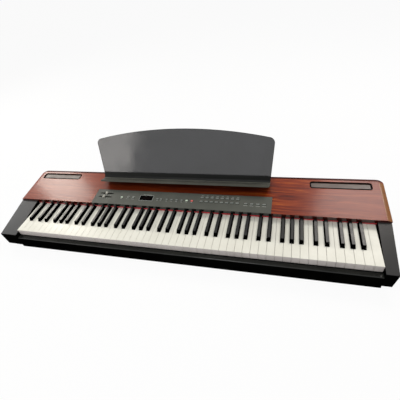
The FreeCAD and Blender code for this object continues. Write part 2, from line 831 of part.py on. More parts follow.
def make_control_panel():
    x0 = console_left
    x1 = console_right
    plate = box(x0, x1, 0, console_depth, -console_plate, 0)
    skirt = box(x0, x1, 0, console_depth, -lid_thickness, -console_plate)
    skirt = skirt.cut(box(x0 + console_skirt, x1 - console_skirt,
                          console_skirt, console_depth - console_skirt, -lid_thickness, -console_plate))
    fascia = box(x0, x1, fascia_setback, fascia_setback + fascia_thickness, -lid_thickness - fascia_height,
                 -console_plate)
    board_v = (panel_board_margin, console_depth - panel_board_margin)
    post_xs = (x0 + panel_board_margin, console_center_x - post_size * 2,
               x1 - panel_board_margin - post_size)
    posts = [box(x, x + post_size, v, v + post_size, -panel_board_drop, -console_plate)
             for x in post_xs for v in (board_v[0], board_v[1] - post_size)]
    body = join([plate, skirt, fascia] + posts)
    holes = []
    for size, places in button_rows().values():
        holes += [block(console_left + x, v, size[0] + 2 * button_fit, size[1] + 2 * button_fit,
                        -lid_thickness, lid_thickness) for x, v in places]
    holes += [block(console_left + slider_x, v, slider_slot_length, slider_slot_width, -lid_thickness,
                    lid_thickness) for v in slider_v]
    x = console_left + display_x
    holes.append(block(x, display_v, display_width + 2 * console_fit, display_depth + 2 * console_fit,
                       -display_thickness, lid_thickness))
    holes.append(block(x, display_v, display_width - 2 * display_ledge, display_depth - 2 * display_ledge,
                       -lid_thickness, lid_thickness))
    return on_lid(body.cut(holes))


def make_display_window():
    return on_lid(block(console_left + display_x, display_v, display_width, display_depth,
                        -display_thickness, 0))


def make_panel_board():
    x0 = console_left + panel_board_margin
    x1 = console_right - panel_board_margin
    board = box(x0, x1, panel_board_margin, console_depth - panel_board_margin,
                -panel_board_drop - panel_board_thickness, -panel_board_drop)
    parts = []
    for size, places in button_rows().values():
        parts += [block(console_left + x, v, switch_size, switch_size, -panel_board_drop,
                        -button_depth - button_travel - switch_overtravel) for x, v in places]
    stem_low = -console_plate - slider_stem[1] / 2
    parts += [block(console_left + slider_x, v, slider_slot_length + switch_size, switch_size,
                    -panel_board_drop, stem_low - stop_gap) for v in slider_v]
    parts.append(block(console_left + display_x, display_v, display_width - 3 * display_ledge,
                       display_depth - 3 * display_ledge, -panel_board_drop, -display_thickness - stop_gap))
    return on_lid(join([board] + parts))


def make_slider_knob(row):
    x = console_left + slider_x + slider_rest[row]
    v = slider_v[row]
    cap = block(x, v, slider_knob[0], slider_knob[1], slider_lift, slider_lift + slider_knob[2])
    rim = edges_where(cap, lambda b: b.ZMin > slider_lift + slider_knob[2] - pick_margin)
    cap = cap.makeChamfer(button_chamfer * 2, rim)
    stem = block(x, v, slider_stem[0], slider_stem[1], -console_plate - slider_stem[1] / 2, slider_lift)
    return on_lid(join([cap, stem]))


# ---- Speakers, in lid places ----
def make_grille(end):
    x = grille_center_x(end)
    length = grille_length - 2 * grille_fit
    depth = grille_depth - 2 * grille_fit
    rim = rounded_plate(x, grille_v, length, depth, -lid_thickness, -grille_recess, grille_corner)
    well = rounded_plate(x, grille_v, length - 2 * grille_rim, depth - 2 * grille_rim,
                         -lid_thickness - grille_rim, 0, grille_corner / 2)
    flange = block(x, grille_v, length + 2 * grille_flange, depth + 2 * grille_flange,
                   -lid_thickness - grille_plate, -lid_thickness)
    low = -grille_recess - 2 * grille_plate
    plate = rounded_plate(x, grille_v, length - grille_rim, depth - grille_rim, low, low + grille_plate,
                          grille_corner - grille_rim / 2)
    slot_length = (length - 2 * grille_rim - grille_bar) / grille_columns - grille_bar
    row_pitch = (depth - 2 * grille_rim) / grille_rows
    slots = [block(x + dx, grille_v + dv, slot_length, grille_slot_width, low, low + grille_plate)
             for dx in spread(grille_columns, slot_length + grille_bar)
             for dv in spread(grille_rows, row_pitch)]
    return on_lid(join([rim, flange]).cut(well).fuse(plate.cut(slots)).removeSplitter())


def rectangle_wire(x, v, width, depth, height):
    corners = [(x - width / 2, v - depth / 2), (x + width / 2, v - depth / 2),
               (x + width / 2, v + depth / 2), (x - width / 2, v + depth / 2)]
    points = [FreeCAD.Vector(px, pv, height) for px, pv in corners]
    return Part.makePolygon(points + [points[0]])


def make_speaker(end):
    x = grille_center_x(end)
    top = -lid_thickness - grille_plate
    plate = block(x, grille_v, speaker_length, speaker_depth, top - speaker_plate, top)
    cone_top = top - speaker_plate
    cone_length = speaker_length - 4 * speaker_plate
    cone_depth = speaker_depth - 2 * speaker_plate
    basket = Part.makeLoft([
        rectangle_wire(x, grille_v, cone_length, cone_depth, cone_top),
        rectangle_wire(x, grille_v, magnet_radius * 3, magnet_radius * 2, cone_top - cone_height)],
        True, True)
    magnet = rod(x, grille_v, cone_top - cone_height, magnet_radius, magnet_height, (0, 0, -1))
    return on_lid(join([plate, basket, magnet]))


# ---- Music rest, in rest places ----
def prong_span(x, wall):
    y0 = channel_wall + channel_fit + rest_panel_thickness
    half = prong_width / 2 + wall
    return x - half, x + half, y0 - wall, y0 + channel_wall * 2 + wall


def make_music_rest_panel():
    y = channel_wall + channel_fit
    corners = [FreeCAD.Vector(-rest_half_width, y, 0), FreeCAD.Vector(rest_half_width, y, 0),
               FreeCAD.Vector(rest_top_half_width, y, rest_side_height)]
    left_top = FreeCAD.Vector(-rest_top_half_width, y, rest_side_height)
    crown = FreeCAD.Vector(0, y, rest_height)
    wire = Part.Wire([Part.makeLine(corners[0], corners[1]), Part.makeLine(corners[1], corners[2]),
                      Part.Arc(corners[2], crown, left_top).toShape(), Part.makeLine(left_top, corners[0])])
    sheet = Part.Face(wire).extrude(FreeCAD.Vector(0, rest_panel_thickness, 0))
    tips = edges_where(sheet, lambda b: b.ZMin > rest_side_height - cut_margin
                       and b.ZLength < pick_margin and b.XLength < pick_margin)
    return on_rest(sheet.makeFillet(rest_corner_radius, tips))


def make_cove():
    """Hollow curve in the corner of the ledge and the channel's front wall."""
    drop = ledge_cove * (1 - math.sqrt(0.5))
    corner = FreeCAD.Vector(-rest_half_width, 0, 0)
    start = corner - FreeCAD.Vector(0, ledge_cove, 0)
    middle = corner + FreeCAD.Vector(0, -drop, drop)
    end = corner + FreeCAD.Vector(0, 0, ledge_cove)
    wire = Part.Wire([Part.Arc(start, middle, end).toShape(), Part.makeLine(end, corner),
                      Part.makeLine(corner, start)])
    return Part.Face(wire).extrude(FreeCAD.Vector(2 * rest_half_width, 0, 0))


def make_music_rest_ledge():
    channel_back = 2 * channel_fit + channel_wall + rest_panel_thickness
    rear = channel_back + channel_wall * 2
    ledge = box(-rest_half_width, rest_half_width, -ledge_depth, rear, -ledge_thickness, 0)
    ledge = ledge.makeFillet(ledge_corner_radius, edges_where(
        ledge, lambda b: b.ZLength > ledge_thickness / 2 and b.YMax < 0))
    lip = box(-rest_half_width + ledge_corner_radius, rest_half_width - ledge_corner_radius, -ledge_depth,
              -ledge_depth + ledge_lip, 0, ledge_lip)
    front_wall = box(-rest_half_width, rest_half_width, 0, channel_wall, 0, channel_height)
    rear_wall = box(-rest_half_width, rest_half_width, channel_back, rear, 0, channel_height)
    prongs = []
    for x in spread(prong_count, prong_spacing):
        x0, x1, y0, y1 = prong_span(x, 0)
        prongs.append(box(x0, x1, y0, y1, -prong_length, -ledge_thickness))
    return on_rest(join([ledge, lip, front_wall, rear_wall, make_cove()] + prongs))


def socket_outer(x, wall):
    x0, x1, y0, y1 = prong_span(x, socket_fit + socket_wall + wall)
    return on_rest(box(x0, x1, y0, y1, -prong_length - stop_gap - socket_wall - wall, -ledge_thickness))


def make_rest_sockets():
    sockets = []
    below_lid = box(-side_x, side_x, 0, body_depth, -2 * prong_length, 0)
    for x in spread(prong_count, prong_spacing):
        x0, x1, y0, y1 = prong_span(x, socket_fit)
        inner = on_rest(box(x0, x1, y0, y1, -prong_length - stop_gap, 0))
        sockets.append(socket_outer(x, 0).cut(inner).common(on_lid(below_lid)))
    return sockets


# ---- Rear sockets and electrics ----
def make_jack(x, body, radius, ring_radius, bore_depth):
    width, depth, height = body
    case = box(x - width / 2, x + width / 2, panel_front_y - depth, panel_front_y, jack_z - height / 2,
               jack_z + height / 2)
    ring = rod(x, panel_front_y, jack_z, ring_radius, back_panel_thickness, (0, 1, 0))
    return join([case, ring]).cut(rod(x, back_y, jack_z, radius, bore_depth, (0, -1, 0)))


def make_jacks():
    jacks = [make_jack(x, jack_body, jack_radius, jack_bush_radius, jack_bore_depth) for x in jack_xs]
    midis = [make_jack(x, midi_body, midi_radius, midi_ring_radius, midi_bore_depth) for x in midi_xs]
    return jacks + midis


def make_ac_inlet():
    half_x = inlet_opening[0] / 2
    half_z = inlet_opening[1] / 2
    body = box(inlet_x - half_x - inlet_wall, inlet_x + half_x + inlet_wall,
               back_y - inlet_depth - inlet_wall, back_y,
               jack_z - half_z - inlet_wall, jack_z + half_z + inlet_wall)
    lip = inlet_wall + inlet_flange
    flange = box(inlet_x - half_x - lip, inlet_x + half_x + lip, back_y, back_y + inlet_wall / 2,
                 jack_z - half_z - lip / 2, jack_z + half_z + lip / 2)
    cavity = box(inlet_x - half_x, inlet_x + half_x, back_y - inlet_depth, back_y + inlet_wall,
                 jack_z - half_z, jack_z + half_z)
    pins = [box(inlet_x + dx - inlet_pin[0] / 2, inlet_x + dx + inlet_pin[0] / 2, back_y - inlet_depth,
                back_y - inlet_depth + inlet_pin[1], jack_z - inlet_pin[2] / 2, jack_z + inlet_pin[2] / 2)
            for dx in spread(inlet_pin_count, inlet_pin_pitch)]
    return join([join([body, flange]).cut(cavity)] + pins)


def make_power_button():
    width, height = power_button
    cap = box(power_x - width / 2, power_x + width / 2, back_y - power_length + power_rise,
              back_y + power_rise, jack_z - height / 2, jack_z + height / 2)
    rim = edges_where(cap, lambda b: b.YMin > back_y + power_rise - pick_margin)
    return cap.makeChamfer(button_chamfer, rim)


def make_main_board():
    x0, x1 = [inner_right - inset for inset in main_board_insets]
    top = jack_z - midi_body[2] / 2
    y0 = key_y + frame_end + stop_gap
    board = box(x0, x1, y0, panel_front_y, top - main_board_thickness, top)
    legs = [box(x, x + post_size, y, y + post_size, board_top, top - main_board_thickness)
            for x in (x0, x1 - post_size) for y in (y0, panel_front_y - post_size)]
    carriers = [box(x - jack_body[0] / 2, x + jack_body[0] / 2, panel_front_y - jack_body[1], panel_front_y,
                    top, jack_z - jack_body[2] / 2) for x in jack_xs]
    chips = [block(inner_right - inset, y0 + chip_size, chip_size, chip_size, top, top + chip_height)
             for inset in chip_insets]
    return join([board] + legs + carriers + chips)


def make_power_supply():
    x0, x1 = [inner_left + inset for inset in supply_insets]
    y0 = key_y + frame_end + supply_wall_gap
    y1 = back_y - inlet_depth - inlet_wall - stop_gap
    case = box(x0, x1, y0, y1, board_top, board_top + supply_height)
    tops = edges_where(case, lambda b: b.ZMin > board_top + supply_height - pick_margin)
    case = case.makeChamfer(button_chamfer * 2, tops)
    bracket = box(power_x - power_button[0] / 2, power_x + power_button[0] / 2, y1,
                  back_y - power_length + power_rise - power_travel - stop_gap, board_top,
                  jack_z + power_button[1] / 2)
    return join([case, bracket])


# ---- Build ----
def build():
    os.makedirs("parts", exist_ok=True)
    export("bottom_board", [make_bottom_board()])
    export("front_rail", [make_front_rail()])
    export("left_end_block", [make_cheek(-side_x, inner_left)])
    export("right_end_block", [make_cheek(side_x, inner_right)])
    export("top_cover", [make_top_cover()])
    export("rear_panel", [make_rear_panel()])
    export("rubber_feet", make_feet())
    export("stand_inserts", make_stand_inserts())
    export("case_screws", [back_screw(p) for p in back_screw_places() + lid_screw_places()]
           + [cheek_screw(p) for p in cheek_screw_places()])
    export("red_felt_strip", [make_felt_strip()])
    export("key_frame", [make_key_frame()])
    export("pivot_rods", make_pivot_rods())
    export("key_stop_felts", make_stop_felts())
    export("key_contact_board", make_contact_board())
    export("control_panel", [make_control_panel()])
    export("display_window", [make_display_window()])
    export("panel_board", [make_panel_board()])
    for name, (size, places) in button_rows().items():
        export(name, [make_button(size, place) for place in places])
    export("volume_slider_knob", [make_slider_knob(0)])
    export("brilliance_slider_knob", [make_slider_knob(1)])
    export("speaker_grille_left", [make_grille(-1)])
    export("speaker_grille_right", [make_grille(1)])
    export("speakers", [make_speaker(-1), make_speaker(1)])
    export("music_rest_panel", [make_music_rest_panel()])
    export("music_rest_ledge", [make_music_rest_ledge()])
    export("music_rest_sockets", make_rest_sockets())
    export("jack_sockets", make_jacks())
    export("ac_inlet", [make_ac_inlet()])
    export("power_button", [make_power_button()])
    export("main_board", [make_main_board()])
    export("power_supply", [make_power_supply()])
    for note, name in enumerate(note_names):
        members = [i for i in range(key_count) if note_of(i) == note]
        make_key = make_black_key if note in black_offsets else make_white_key
        export(f"keys_{name}", [make_key(i) for i in members])
        export(f"hammers_{name}", [make_hammer(i) for i in members])


build()
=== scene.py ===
import json
import math
import bmesh
import bpy
from mathutils import Matrix, Vector

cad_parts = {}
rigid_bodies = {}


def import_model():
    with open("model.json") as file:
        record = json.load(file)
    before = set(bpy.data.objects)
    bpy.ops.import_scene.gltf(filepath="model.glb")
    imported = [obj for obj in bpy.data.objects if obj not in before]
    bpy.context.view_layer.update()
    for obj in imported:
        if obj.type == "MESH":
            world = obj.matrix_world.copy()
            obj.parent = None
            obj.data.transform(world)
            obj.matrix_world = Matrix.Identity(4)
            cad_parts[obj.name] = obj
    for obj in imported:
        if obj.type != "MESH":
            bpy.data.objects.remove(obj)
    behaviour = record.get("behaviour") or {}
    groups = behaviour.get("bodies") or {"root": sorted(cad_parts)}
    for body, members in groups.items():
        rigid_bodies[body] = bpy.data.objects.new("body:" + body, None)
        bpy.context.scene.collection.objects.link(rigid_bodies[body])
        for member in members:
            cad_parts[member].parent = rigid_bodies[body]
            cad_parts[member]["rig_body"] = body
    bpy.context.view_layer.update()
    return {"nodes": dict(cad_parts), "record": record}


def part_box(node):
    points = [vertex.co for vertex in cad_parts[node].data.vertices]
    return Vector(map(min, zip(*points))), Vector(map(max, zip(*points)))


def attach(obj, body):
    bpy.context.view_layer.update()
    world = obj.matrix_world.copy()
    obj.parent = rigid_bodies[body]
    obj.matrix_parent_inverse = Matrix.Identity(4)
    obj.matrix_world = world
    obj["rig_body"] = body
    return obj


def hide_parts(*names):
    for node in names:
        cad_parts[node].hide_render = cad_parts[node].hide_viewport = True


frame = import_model()
nodes = frame["nodes"]
noteNames = ["c", "c_sharp", "d", "d_sharp", "e", "f", "f_sharp", "g", "g_sharp", "a", "a_sharp", "b"]
buttonGroups = ["demo_button", "tempo_buttons", "song_buttons", "voice_buttons_upper",
                "voice_buttons_lower", "effect_buttons"]
sliderKnobs = ["volume_slider_knob", "brilliance_slider_knob"]
bodyOf = {name: nodes[name]["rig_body"] for name in nodes}
slotOf = {part["node"]: part["material_slot"] for part in frame["record"]["subparts"]}
along = 0.9   # a face or an edge lies along an axis when this share of its direction does
mostly = 0.5  # and a face looks mostly that way past this share


def mm(value):  # sizes are in millimetres and the scene in metres
    return value / 1000


def linear(code):  # sRGB hex to the linear colour that sockets take
    parts = [int(code[i:i + 2], 16) / 255 for i in (1, 3, 5)]
    return [p / 12.92 if p <= 0.04045 else ((p + 0.055) / 1.055) ** 2.4 for p in parts] + [1.0]


# the lid's own frame: X along the keys, Y up its slope and Z off its surface, from the console's front edge
lidSlope = math.radians(4.15)
consoleLow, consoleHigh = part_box("control_panel")
lidTop = consoleHigh.z - (consoleHigh.y - consoleLow.y) * math.tan(lidSlope)
lidMatrix = Matrix.Translation((0, consoleLow.y, lidTop)) @ Matrix.Rotation(lidSlope, 4, "X")
fromLid = lidMatrix.inverted()


def addNode(tree, kind, settings=None, links=None):  # names and numbers of sockets, or names of properties
    node = tree.nodes.new(kind)
    for name, value in (settings or {}).items():
        if name == "stops":
            for i, (at, code) in enumerate(value):
                stop = node.color_ramp.elements[i] if i < 2 else node.color_ramp.elements.new(at)
                stop.position = at
                stop.color = linear(code)
        elif isinstance(name, int) or name in node.inputs:
            node.inputs[name].default_value = value
        else:
            setattr(node, name, value)
    for name, source in (links or {}).items():
        tree.links.new(source, node.inputs[name])
    return node


def emptyTree(owner):  # of a new material or world
    owner.use_nodes = True
    owner.node_tree.nodes.clear()
    return owner.node_tree


def newFinish(name, plain):
    material = bpy.data.materials.new(name)
    tree = emptyTree(material)
    shader = addNode(tree, "ShaderNodeBsdfPrincipled", plain)
    addNode(tree, "ShaderNodeOutputMaterial", links={"Surface": shader.outputs["BSDF"]})
    place = addNode(tree, "ShaderNodeTexCoord").outputs["Object"]
    return material, tree, shader, place


def cloudsAt(tree, place, sizes, settings):  # a soft noise, its sizes in mm along X, Y and Z
    scaled = addNode(tree, "ShaderNodeMapping", {"Scale": [1 / mm(size) for size in sizes]},
                     {"Vector": place}).outputs["Vector"]
    return addNode(tree, "ShaderNodeTexNoise", {"Scale": 1.0, **settings}, {"Vector": scaled})


noiseSpan = (0.3, 0.7)  # nearly all of a soft noise lies between these values
wipeShare = 0.6         # the size of a wiped patch in the gloss against a cloud of tone


def addSkin(tree, shader, look, wiped, relief):  # gloss that follows one pattern, bumps that follow another
    gloss = addNode(tree, "ShaderNodeMapRange", {"From Min": noiseSpan[0], "From Max": noiseSpan[1],
                                                 "To Min": look["rough"][0], "To Max": look["rough"][1]},
                    {"Value": wiped})
    tree.links.new(gloss.outputs["Result"], shader.inputs["Roughness"])
    bump = addNode(tree, "ShaderNodeBump", {"Strength": look["strength"], "Distance": mm(look["height"])},
                   {"Height": relief})
    tree.links.new(bump.outputs["Normal"], shader.inputs["Normal"])


def mouldedFinish(name, look):
    # slow tone changes, wiped patches in the gloss and a fine grain that breaks the highlights
    material, tree, shader, place = newFinish(name, look["plain"])
    cloud = cloudsAt(tree, place, [look["cloud"]] * 3, {"Detail": 3.0})
    tone = addNode(tree, "ShaderNodeValToRGB",
                   {"stops": [(noiseSpan[0], look["dark"]), (noiseSpan[1], look["light"])]},
                   {"Fac": cloud.outputs["Fac"]})
    tree.links.new(tone.outputs["Color"], shader.inputs["Base Color"])
    wiped = cloudsAt(tree, place, [look["cloud"] * wipeShare] * 3, {"Detail": 5.0, "Roughness": 0.6})
    grain = cloudsAt(tree, place, [look["grain"]] * 3, {"Detail": 2.0})
    addSkin(tree, shader, look, wiped.outputs["Fac"], grain.outputs["Fac"])
    return material


def woodFinish(name, look):
    # stained veneer under satin lacquer: ribbon figure, dark veins along the keyboard, fine open pores, and
    # painted shadow mid-lid
    material, tree, shader, place = newFinish(name, look["plain"])
    bend = cloudsAt(tree, place, look["bend"], {"Detail": 1.0})
    sway = addNode(tree, "ShaderNodeVectorMath", {"operation": "SCALE", "Scale": mm(look["sway"])},
                   {0: bend.outputs["Color"]})
    bent = addNode(tree, "ShaderNodeVectorMath", {"operation": "ADD"},
                   {0: place, 1: sway.outputs["Vector"]}).outputs["Vector"]
    ribbon = cloudsAt(tree, bent, look["ribbon"],
                      {"Detail": 4.0, "Roughness": 0.62, "Distortion": 0.3}).outputs["Fac"]
    endways = addNode(tree, "ShaderNodeSeparateXYZ", links={"Vector": place}).outputs["X"]
    sides = [addNode(tree, "ShaderNodeMapRange",
                     {"From Min": mm(low), "From Max": mm(high), "To Min": look["quiet"], "To Max": 1.0},
                     {"Value": endways}).outputs["Result"] for low, high in look["leaf"]]
    lively = addNode(tree, "ShaderNodeMath", {"operation": "MULTIPLY"}, {0: sides[0], 1: sides[1]})
    centred = addNode(tree, "ShaderNodeMath", {"operation": "SUBTRACT", 1: look["calm"]}, {0: ribbon})
    figure = addNode(tree, "ShaderNodeMath", {"operation": "MULTIPLY_ADD", 2: look["calm"]},
                     {0: centred.outputs[0], 1: lively.outputs[0]})
    tone = addNode(tree, "ShaderNodeValToRGB", {"stops": look["stops"]}, {"Fac": figure.outputs[0]})
    fibre = cloudsAt(tree, bent, look["fibre"], {"Detail": 2.0})
    board = cloudsAt(tree, place, look["board"], {"Detail": 1.0})
    colour = tone.outputs["Color"]
    low, high = look["span"]
    for pattern, most, over in (fibre, look["streak"], look["pore"]), (board, look["drift"], look["second"]):
        share = addNode(tree, "ShaderNodeMapRange", {"From Min": low, "From Max": high, "To Min": 0.0,
                                                     "To Max": most}, {"Value": pattern.outputs["Fac"]})
        colour = addNode(tree, "ShaderNodeMix", {"data_type": "RGBA", 7: linear(over)},
                         {0: share.outputs["Result"], 6: colour}).outputs[2]
    # painted shadow of the music rest: across the middle of the lid the colour darkens towards the pore
    # colour
    aside = addNode(tree, "ShaderNodeMath", {"operation": "ABSOLUTE"}, {0: endways})
    low, high = look["shaded"]
    shade = addNode(tree, "ShaderNodeMapRange", {"From Min": mm(low), "From Max": mm(high),
                                                 "To Min": look["shade"], "To Max": 0.0},
                    {"Value": aside.outputs[0]})
    deep = addNode(tree, "ShaderNodeMix", {"data_type": "RGBA", 7: linear(look["pore"])},
                   {0: shade.outputs["Result"], 6: colour})
    tree.links.new(deep.outputs[2], shader.inputs["Base Color"])
    addSkin(tree, shader, look, ribbon, fibre.outputs["Fac"])
    return material


def skin(level, ior=1.5):  # how strongly a surface mirrors, and the IOR of its material
    return {"IOR": ior, "Specular IOR Level": level}


# In each look, cloud is the size of its slow changes of tone, and grain and height are those of its fine
# relief, in mm. Real moulded grain is about 0.1 mm and veneer pores 0.2 mm: both are drawn coarser, to show.

# rosewood veneer, stained and sprayed with satin lacquer: red-brown with dark veins, under a soft sheen.
# The figure sways over bend and is quiet between the two spans of leaf.
# painted shadow: the middle of the lid darkens towards the pore colour, for the music rest's shadow
veneerLook = {
    "plain": {**skin(0.1), "Coat Weight": 0.22, "Coat Roughness": 0.17},
    "stops": [(0.3, "#2e0c04"), (0.42, "#681f0a"), (0.55, "#8e3812"), (0.72, "#ba6124")],
    "ribbon": (190.0, 9.0, 9.0), "bend": (320.0, 128.0, 320.0), "sway": 54.0, "fibre": (44.0, 1.1, 1.1),
    "board": (420.0, 147.0, 420.0), "span": (0.35, 0.65), "streak": 0.35, "pore": "#300e04",
    "second": "#762a12", "drift": 0.45, "rough": (0.42, 0.34), "strength": 0.25, "height": 0.05,
    "leaf": [(-200, 100), (620, 380)], "quiet": 0.35, "calm": 0.5, "shade": 0.6, "shaded": (270, 345)}
# painted light: the round-over at its right end, paler and yellower for the light that it catches from the
# right
paintedLightEndLook = {**veneerLook, "stops": [(0.3, "#5c3416"), (0.5, "#8a5a30"), (0.72, "#a8763f")],
            "pore": "#5a3016", "second": "#80502a"}
# painted shade: the back edge of the lid and a band along it, darker and less glossy for the shade on its
# rounded edge
paintedShadeEdgeLook = {**veneerLook, "plain": skin(0.05),
                "stops": [(0.3, "#260604"), (0.5, "#400e08"), (0.72, "#54180e")], "second": "#360c08"}
# painted shade: its upright front edge, as dark as the back edge and rubbed to a gloss: it mirrors the keys
paintedShadeFrontLook = {**paintedShadeEdgeLook, "plain": skin(0.7), "rough": (0.16, 0.1), "strength": 0.05}

# moulded ABS of the end blocks, satin: near black, a soft sheen on the tops
charcoalLook = {"plain": skin(0.31), "dark": "#1e1d1c", "light": "#272625", "cloud": 90.0,
                "rough": (0.34, 0.42), "grain": 0.5, "strength": 0.3, "height": 0.04}
# painted shade: the same ABS in black without sheen, on the end blocks' upright faces and round the
# console's caps and slots
paintedShadeBlackLook = {**charcoalLook, "plain": skin(0.0), "dark": "#030303", "light": "#070706",
                 "rough": (0.5, 0.62)}
# extruded gloss black rail: deep black, sharp but slightly wavy reflections
railLook = {"plain": skin(0.0), "dark": "#020202", "light": "#060605", "cloud": 60.0, "rough": (0.14, 0.24),
            "grain": 14.0, "strength": 0.12, "height": 0.08}
# painted light: its top face, a dark grey where the light from above falls on the black
paintedLightRailTopLook = {**railLook, "plain": skin(0.24), "dark": "#191a18", "light": "#232421"}
# console ABS: green-grey spark-eroded texture, quite matte
consoleLook = {"plain": skin(0.3, 1.52), "dark": "#42443e", "light": "#4b4d46", "cloud": 50.0,
               "rough": (0.5, 0.6), "grain": 0.6, "strength": 0.35, "height": 0.05}
# painted shade: the console's upright front edge, near black against its grey, left polished by the mould:
# it mirrors the keys
paintedShadeConsoleFrontLook = {"plain": skin(0.7, 1.52), "dark": "#0a0b0a", "light": "#111210", "cloud": 50.0,
                    "rough": (0.08, 0.16), "grain": 6.0, "strength": 0.05, "height": 0.03}
# painted fibreboard of the bottom and back: eggshell black with a faint roller texture
boardLook = {"plain": skin(0.08, 1.48), "dark": "#111110", "light": "#181817", "cloud": 120.0,
             "rough": (0.55, 0.68), "grain": 1.6, "strength": 0.3, "height": 0.06}
# moulded ABS button caps: mid grey, with a soft highlight along each rounded edge
buttonLook = {"plain": skin(0.4), "dark": "#676c67", "light": "#747973", "cloud": 12.0,
              "rough": (0.42, 0.5), "grain": 0.4, "strength": 0.2, "height": 0.02}
# the same plastic in other colours, for two song buttons and the slider caps
paleButtonLook = {**buttonLook, "dark": "#b4c4b0", "light": "#c8d6c2"}
redButtonLook = {**buttonLook, "dark": "#c4524e", "light": "#d86a62"}
knobLook = {**buttonLook, "dark": "#c4c3b8", "light": "#d2d1c6"}
# white keys: cast acrylic, milky depth just under a clear polished skin
whiteKeyLook = {"plain": skin(0.2, 1.49), "dark": "#dad9cd", "light": "#e2e1d6", "cloud": 70.0,
                "rough": (0.24, 0.34), "grain": 0.5, "strength": 0.06, "height": 0.01}
# painted shade: their upright fronts, a little greyer and pinker, as they stand in shade
paintedShadeKeyFrontLook = {**whiteKeyLook, "dark": "#bfb9b6", "light": "#cac4c1"}
# black keys: filled phenolic resin, satin tops with finger polish
blackKeyLook = {"plain": skin(0.25, 1.55), "dark": "#0a0a0a", "light": "#131312", "cloud": 26.0,
                "rough": (0.26, 0.38), "grain": 0.5, "strength": 0.08, "height": 0.02}
# painted shade: all their faces but the tops, a deeper black without the polish
paintedShadeBlackKeyLook = {**blackKeyLook, "plain": skin(0.0, 1.55), "dark": "#020202", "light": "#050505",
                 "rough": (0.4, 0.5)}
# moulded ABS of the music rest's ledge: satin near black
ledgeLook = {"plain": skin(0.12), "dark": "#141514", "light": "#1a1b19", "cloud": 70.0, "rough": (0.4, 0.5),
             "grain": 0.6, "strength": 0.25, "height": 0.04}
# painted light: its shelf and front lip, a mid grey where the light from above falls on the near-black
# plastic
paintedLightShelfLook = {**ledgeLook, "dark": "#4a4a44", "light": "#55554e"}
# moulded rubber of the feet: dull black that scatters nearly all highlights
rubberLook = {"plain": skin(0.25), "dark": "#101010", "light": "#191919", "cloud": 9.0,
              "rough": (0.75, 0.88), "grain": 0.7, "strength": 0.5, "height": 0.08}
# moulded nylon of the sockets: black with a low sheen
socketLook = {"plain": {"IOR": 1.5}, "dark": "#101112", "light": "#17181a", "cloud": 20.0,
              "rough": (0.35, 0.45), "grain": 0.5, "strength": 0.2, "height": 0.03}
# glass-filled nylon of the key frame: dark grey, dulled by its fibres
framePlasticLook = {"plain": {"IOR": 1.5}, "dark": "#2e2f31", "light": "#3a3b3d", "cloud": 60.0,
                    "rough": (0.45, 0.6), "grain": 0.8, "strength": 0.3, "height": 0.05}
# glass-cloth laminate of the circuit boards under solder lacquer: green below a clear coat
circuitLook = {"plain": {"IOR": 1.5, "Coat Weight": 0.4, "Coat Roughness": 0.2}, "dark": "#16402a",
               "light": "#1e5236", "cloud": 14.0, "rough": (0.35, 0.5), "grain": 0.9, "strength": 0.3,
               "height": 0.05}
# worsted felt: short dyed fibres that scatter light at grazing angles, drawn far coarser than 0.02 mm
feltLook = {"plain": {**skin(0.1, 1.4), "Sheen Weight": 0.6, "Sheen Roughness": 0.5}, "dark": "#bc1422",
            "light": "#dc2e3c", "cloud": 5.0, "rough": (0.9, 0.98), "grain": 0.6, "strength": 0.8,
            "height": 0.2}
# the key stops' felt: the same cloth in grey-green
stopFeltLook = {**feltLook, "dark": "#3d4a3e", "light": "#55645a"}
# punched and painted steel sheet of the grilles: brown-black, with a low sheen between the holes
grilleLook = {"plain": skin(0.5), "dark": "#342116", "light": "#3e291c", "cloud": 40.0,
              "rough": (0.38, 0.5), "grain": 0.6, "strength": 0.2, "height": 0.03}
# painted shadow: the grilles' rims, sprayed matt: darker and without a highlight, as the shadow line round
# each grille
paintedShadowGrilleRimLook = {**grilleLook, "plain": skin(0.0), "dark": "#0e0908", "light": "#221815"}
# drawn steel of the pivot rods: bright grey with soft, uneven highlights
steelLook = {"plain": {"Metallic": 1.0}, "dark": "#8d8f92", "light": "#a8aaad", "cloud": 8.0,
             "rough": (0.28, 0.4), "grain": 0.5, "strength": 0.15, "height": 0.02}
# nickel plate of the socket nuts: paler, warmer and sharper than bare steel
nickelLook = {**steelLook, "dark": "#b7b4ac", "light": "#cbc8c0", "rough": (0.16, 0.26)}
# turned brass of the inserts and pins: a yellow metal
brassLook = {**steelLook, "dark": "#a07c3a", "light": "#bb964e"}
# chemically blackened steel of the screws: dark metal with dull highlights
blackScrewLook = {**steelLook, "dark": "#26272a", "light": "#323337", "rough": (0.35, 0.48)}
# pressed steel of the speakers, phosphated: dark grey metal
speakerLook = {**steelLook, "dark": "#3a3a3c", "light": "#4a4a4c"}
# galvanised sheet of the supply's case: broad pale spangles
supplyLook = {**steelLook, "cloud": 22.0, "dark": "#8e9296", "light": "#b4b8bc", "rough": (0.35, 0.5)}
# cast iron of the hammers: dark grey-brown metal, rough from the sand
ironLook = {**steelLook, "dark": "#4a4845", "light": "#5c5a56", "rough": (0.45, 0.6)}
# screen-printed ink on the console and the back: flat pale grey
printLook = {"plain": skin(0.3, 1.45), "dark": "#9ea29c", "light": "#abafa9", "cloud": 8.0,
             "rough": (0.5, 0.6), "grain": 0.6, "strength": 0.1, "height": 0.01}
# tinted acrylic of the display window, polished: black, and dead flat
displayLook = {"plain": skin(0.01, 1.49), "dark": "#010101", "light": "#030303", "cloud": 30.0,
               "rough": (0.08, 0.14), "grain": 5.0, "strength": 0.03, "height": 0.01}
# unlit segments seen through it: a trace of red in the black
segmentLook = {**displayLook, "dark": "#180d0e", "light": "#201112"}
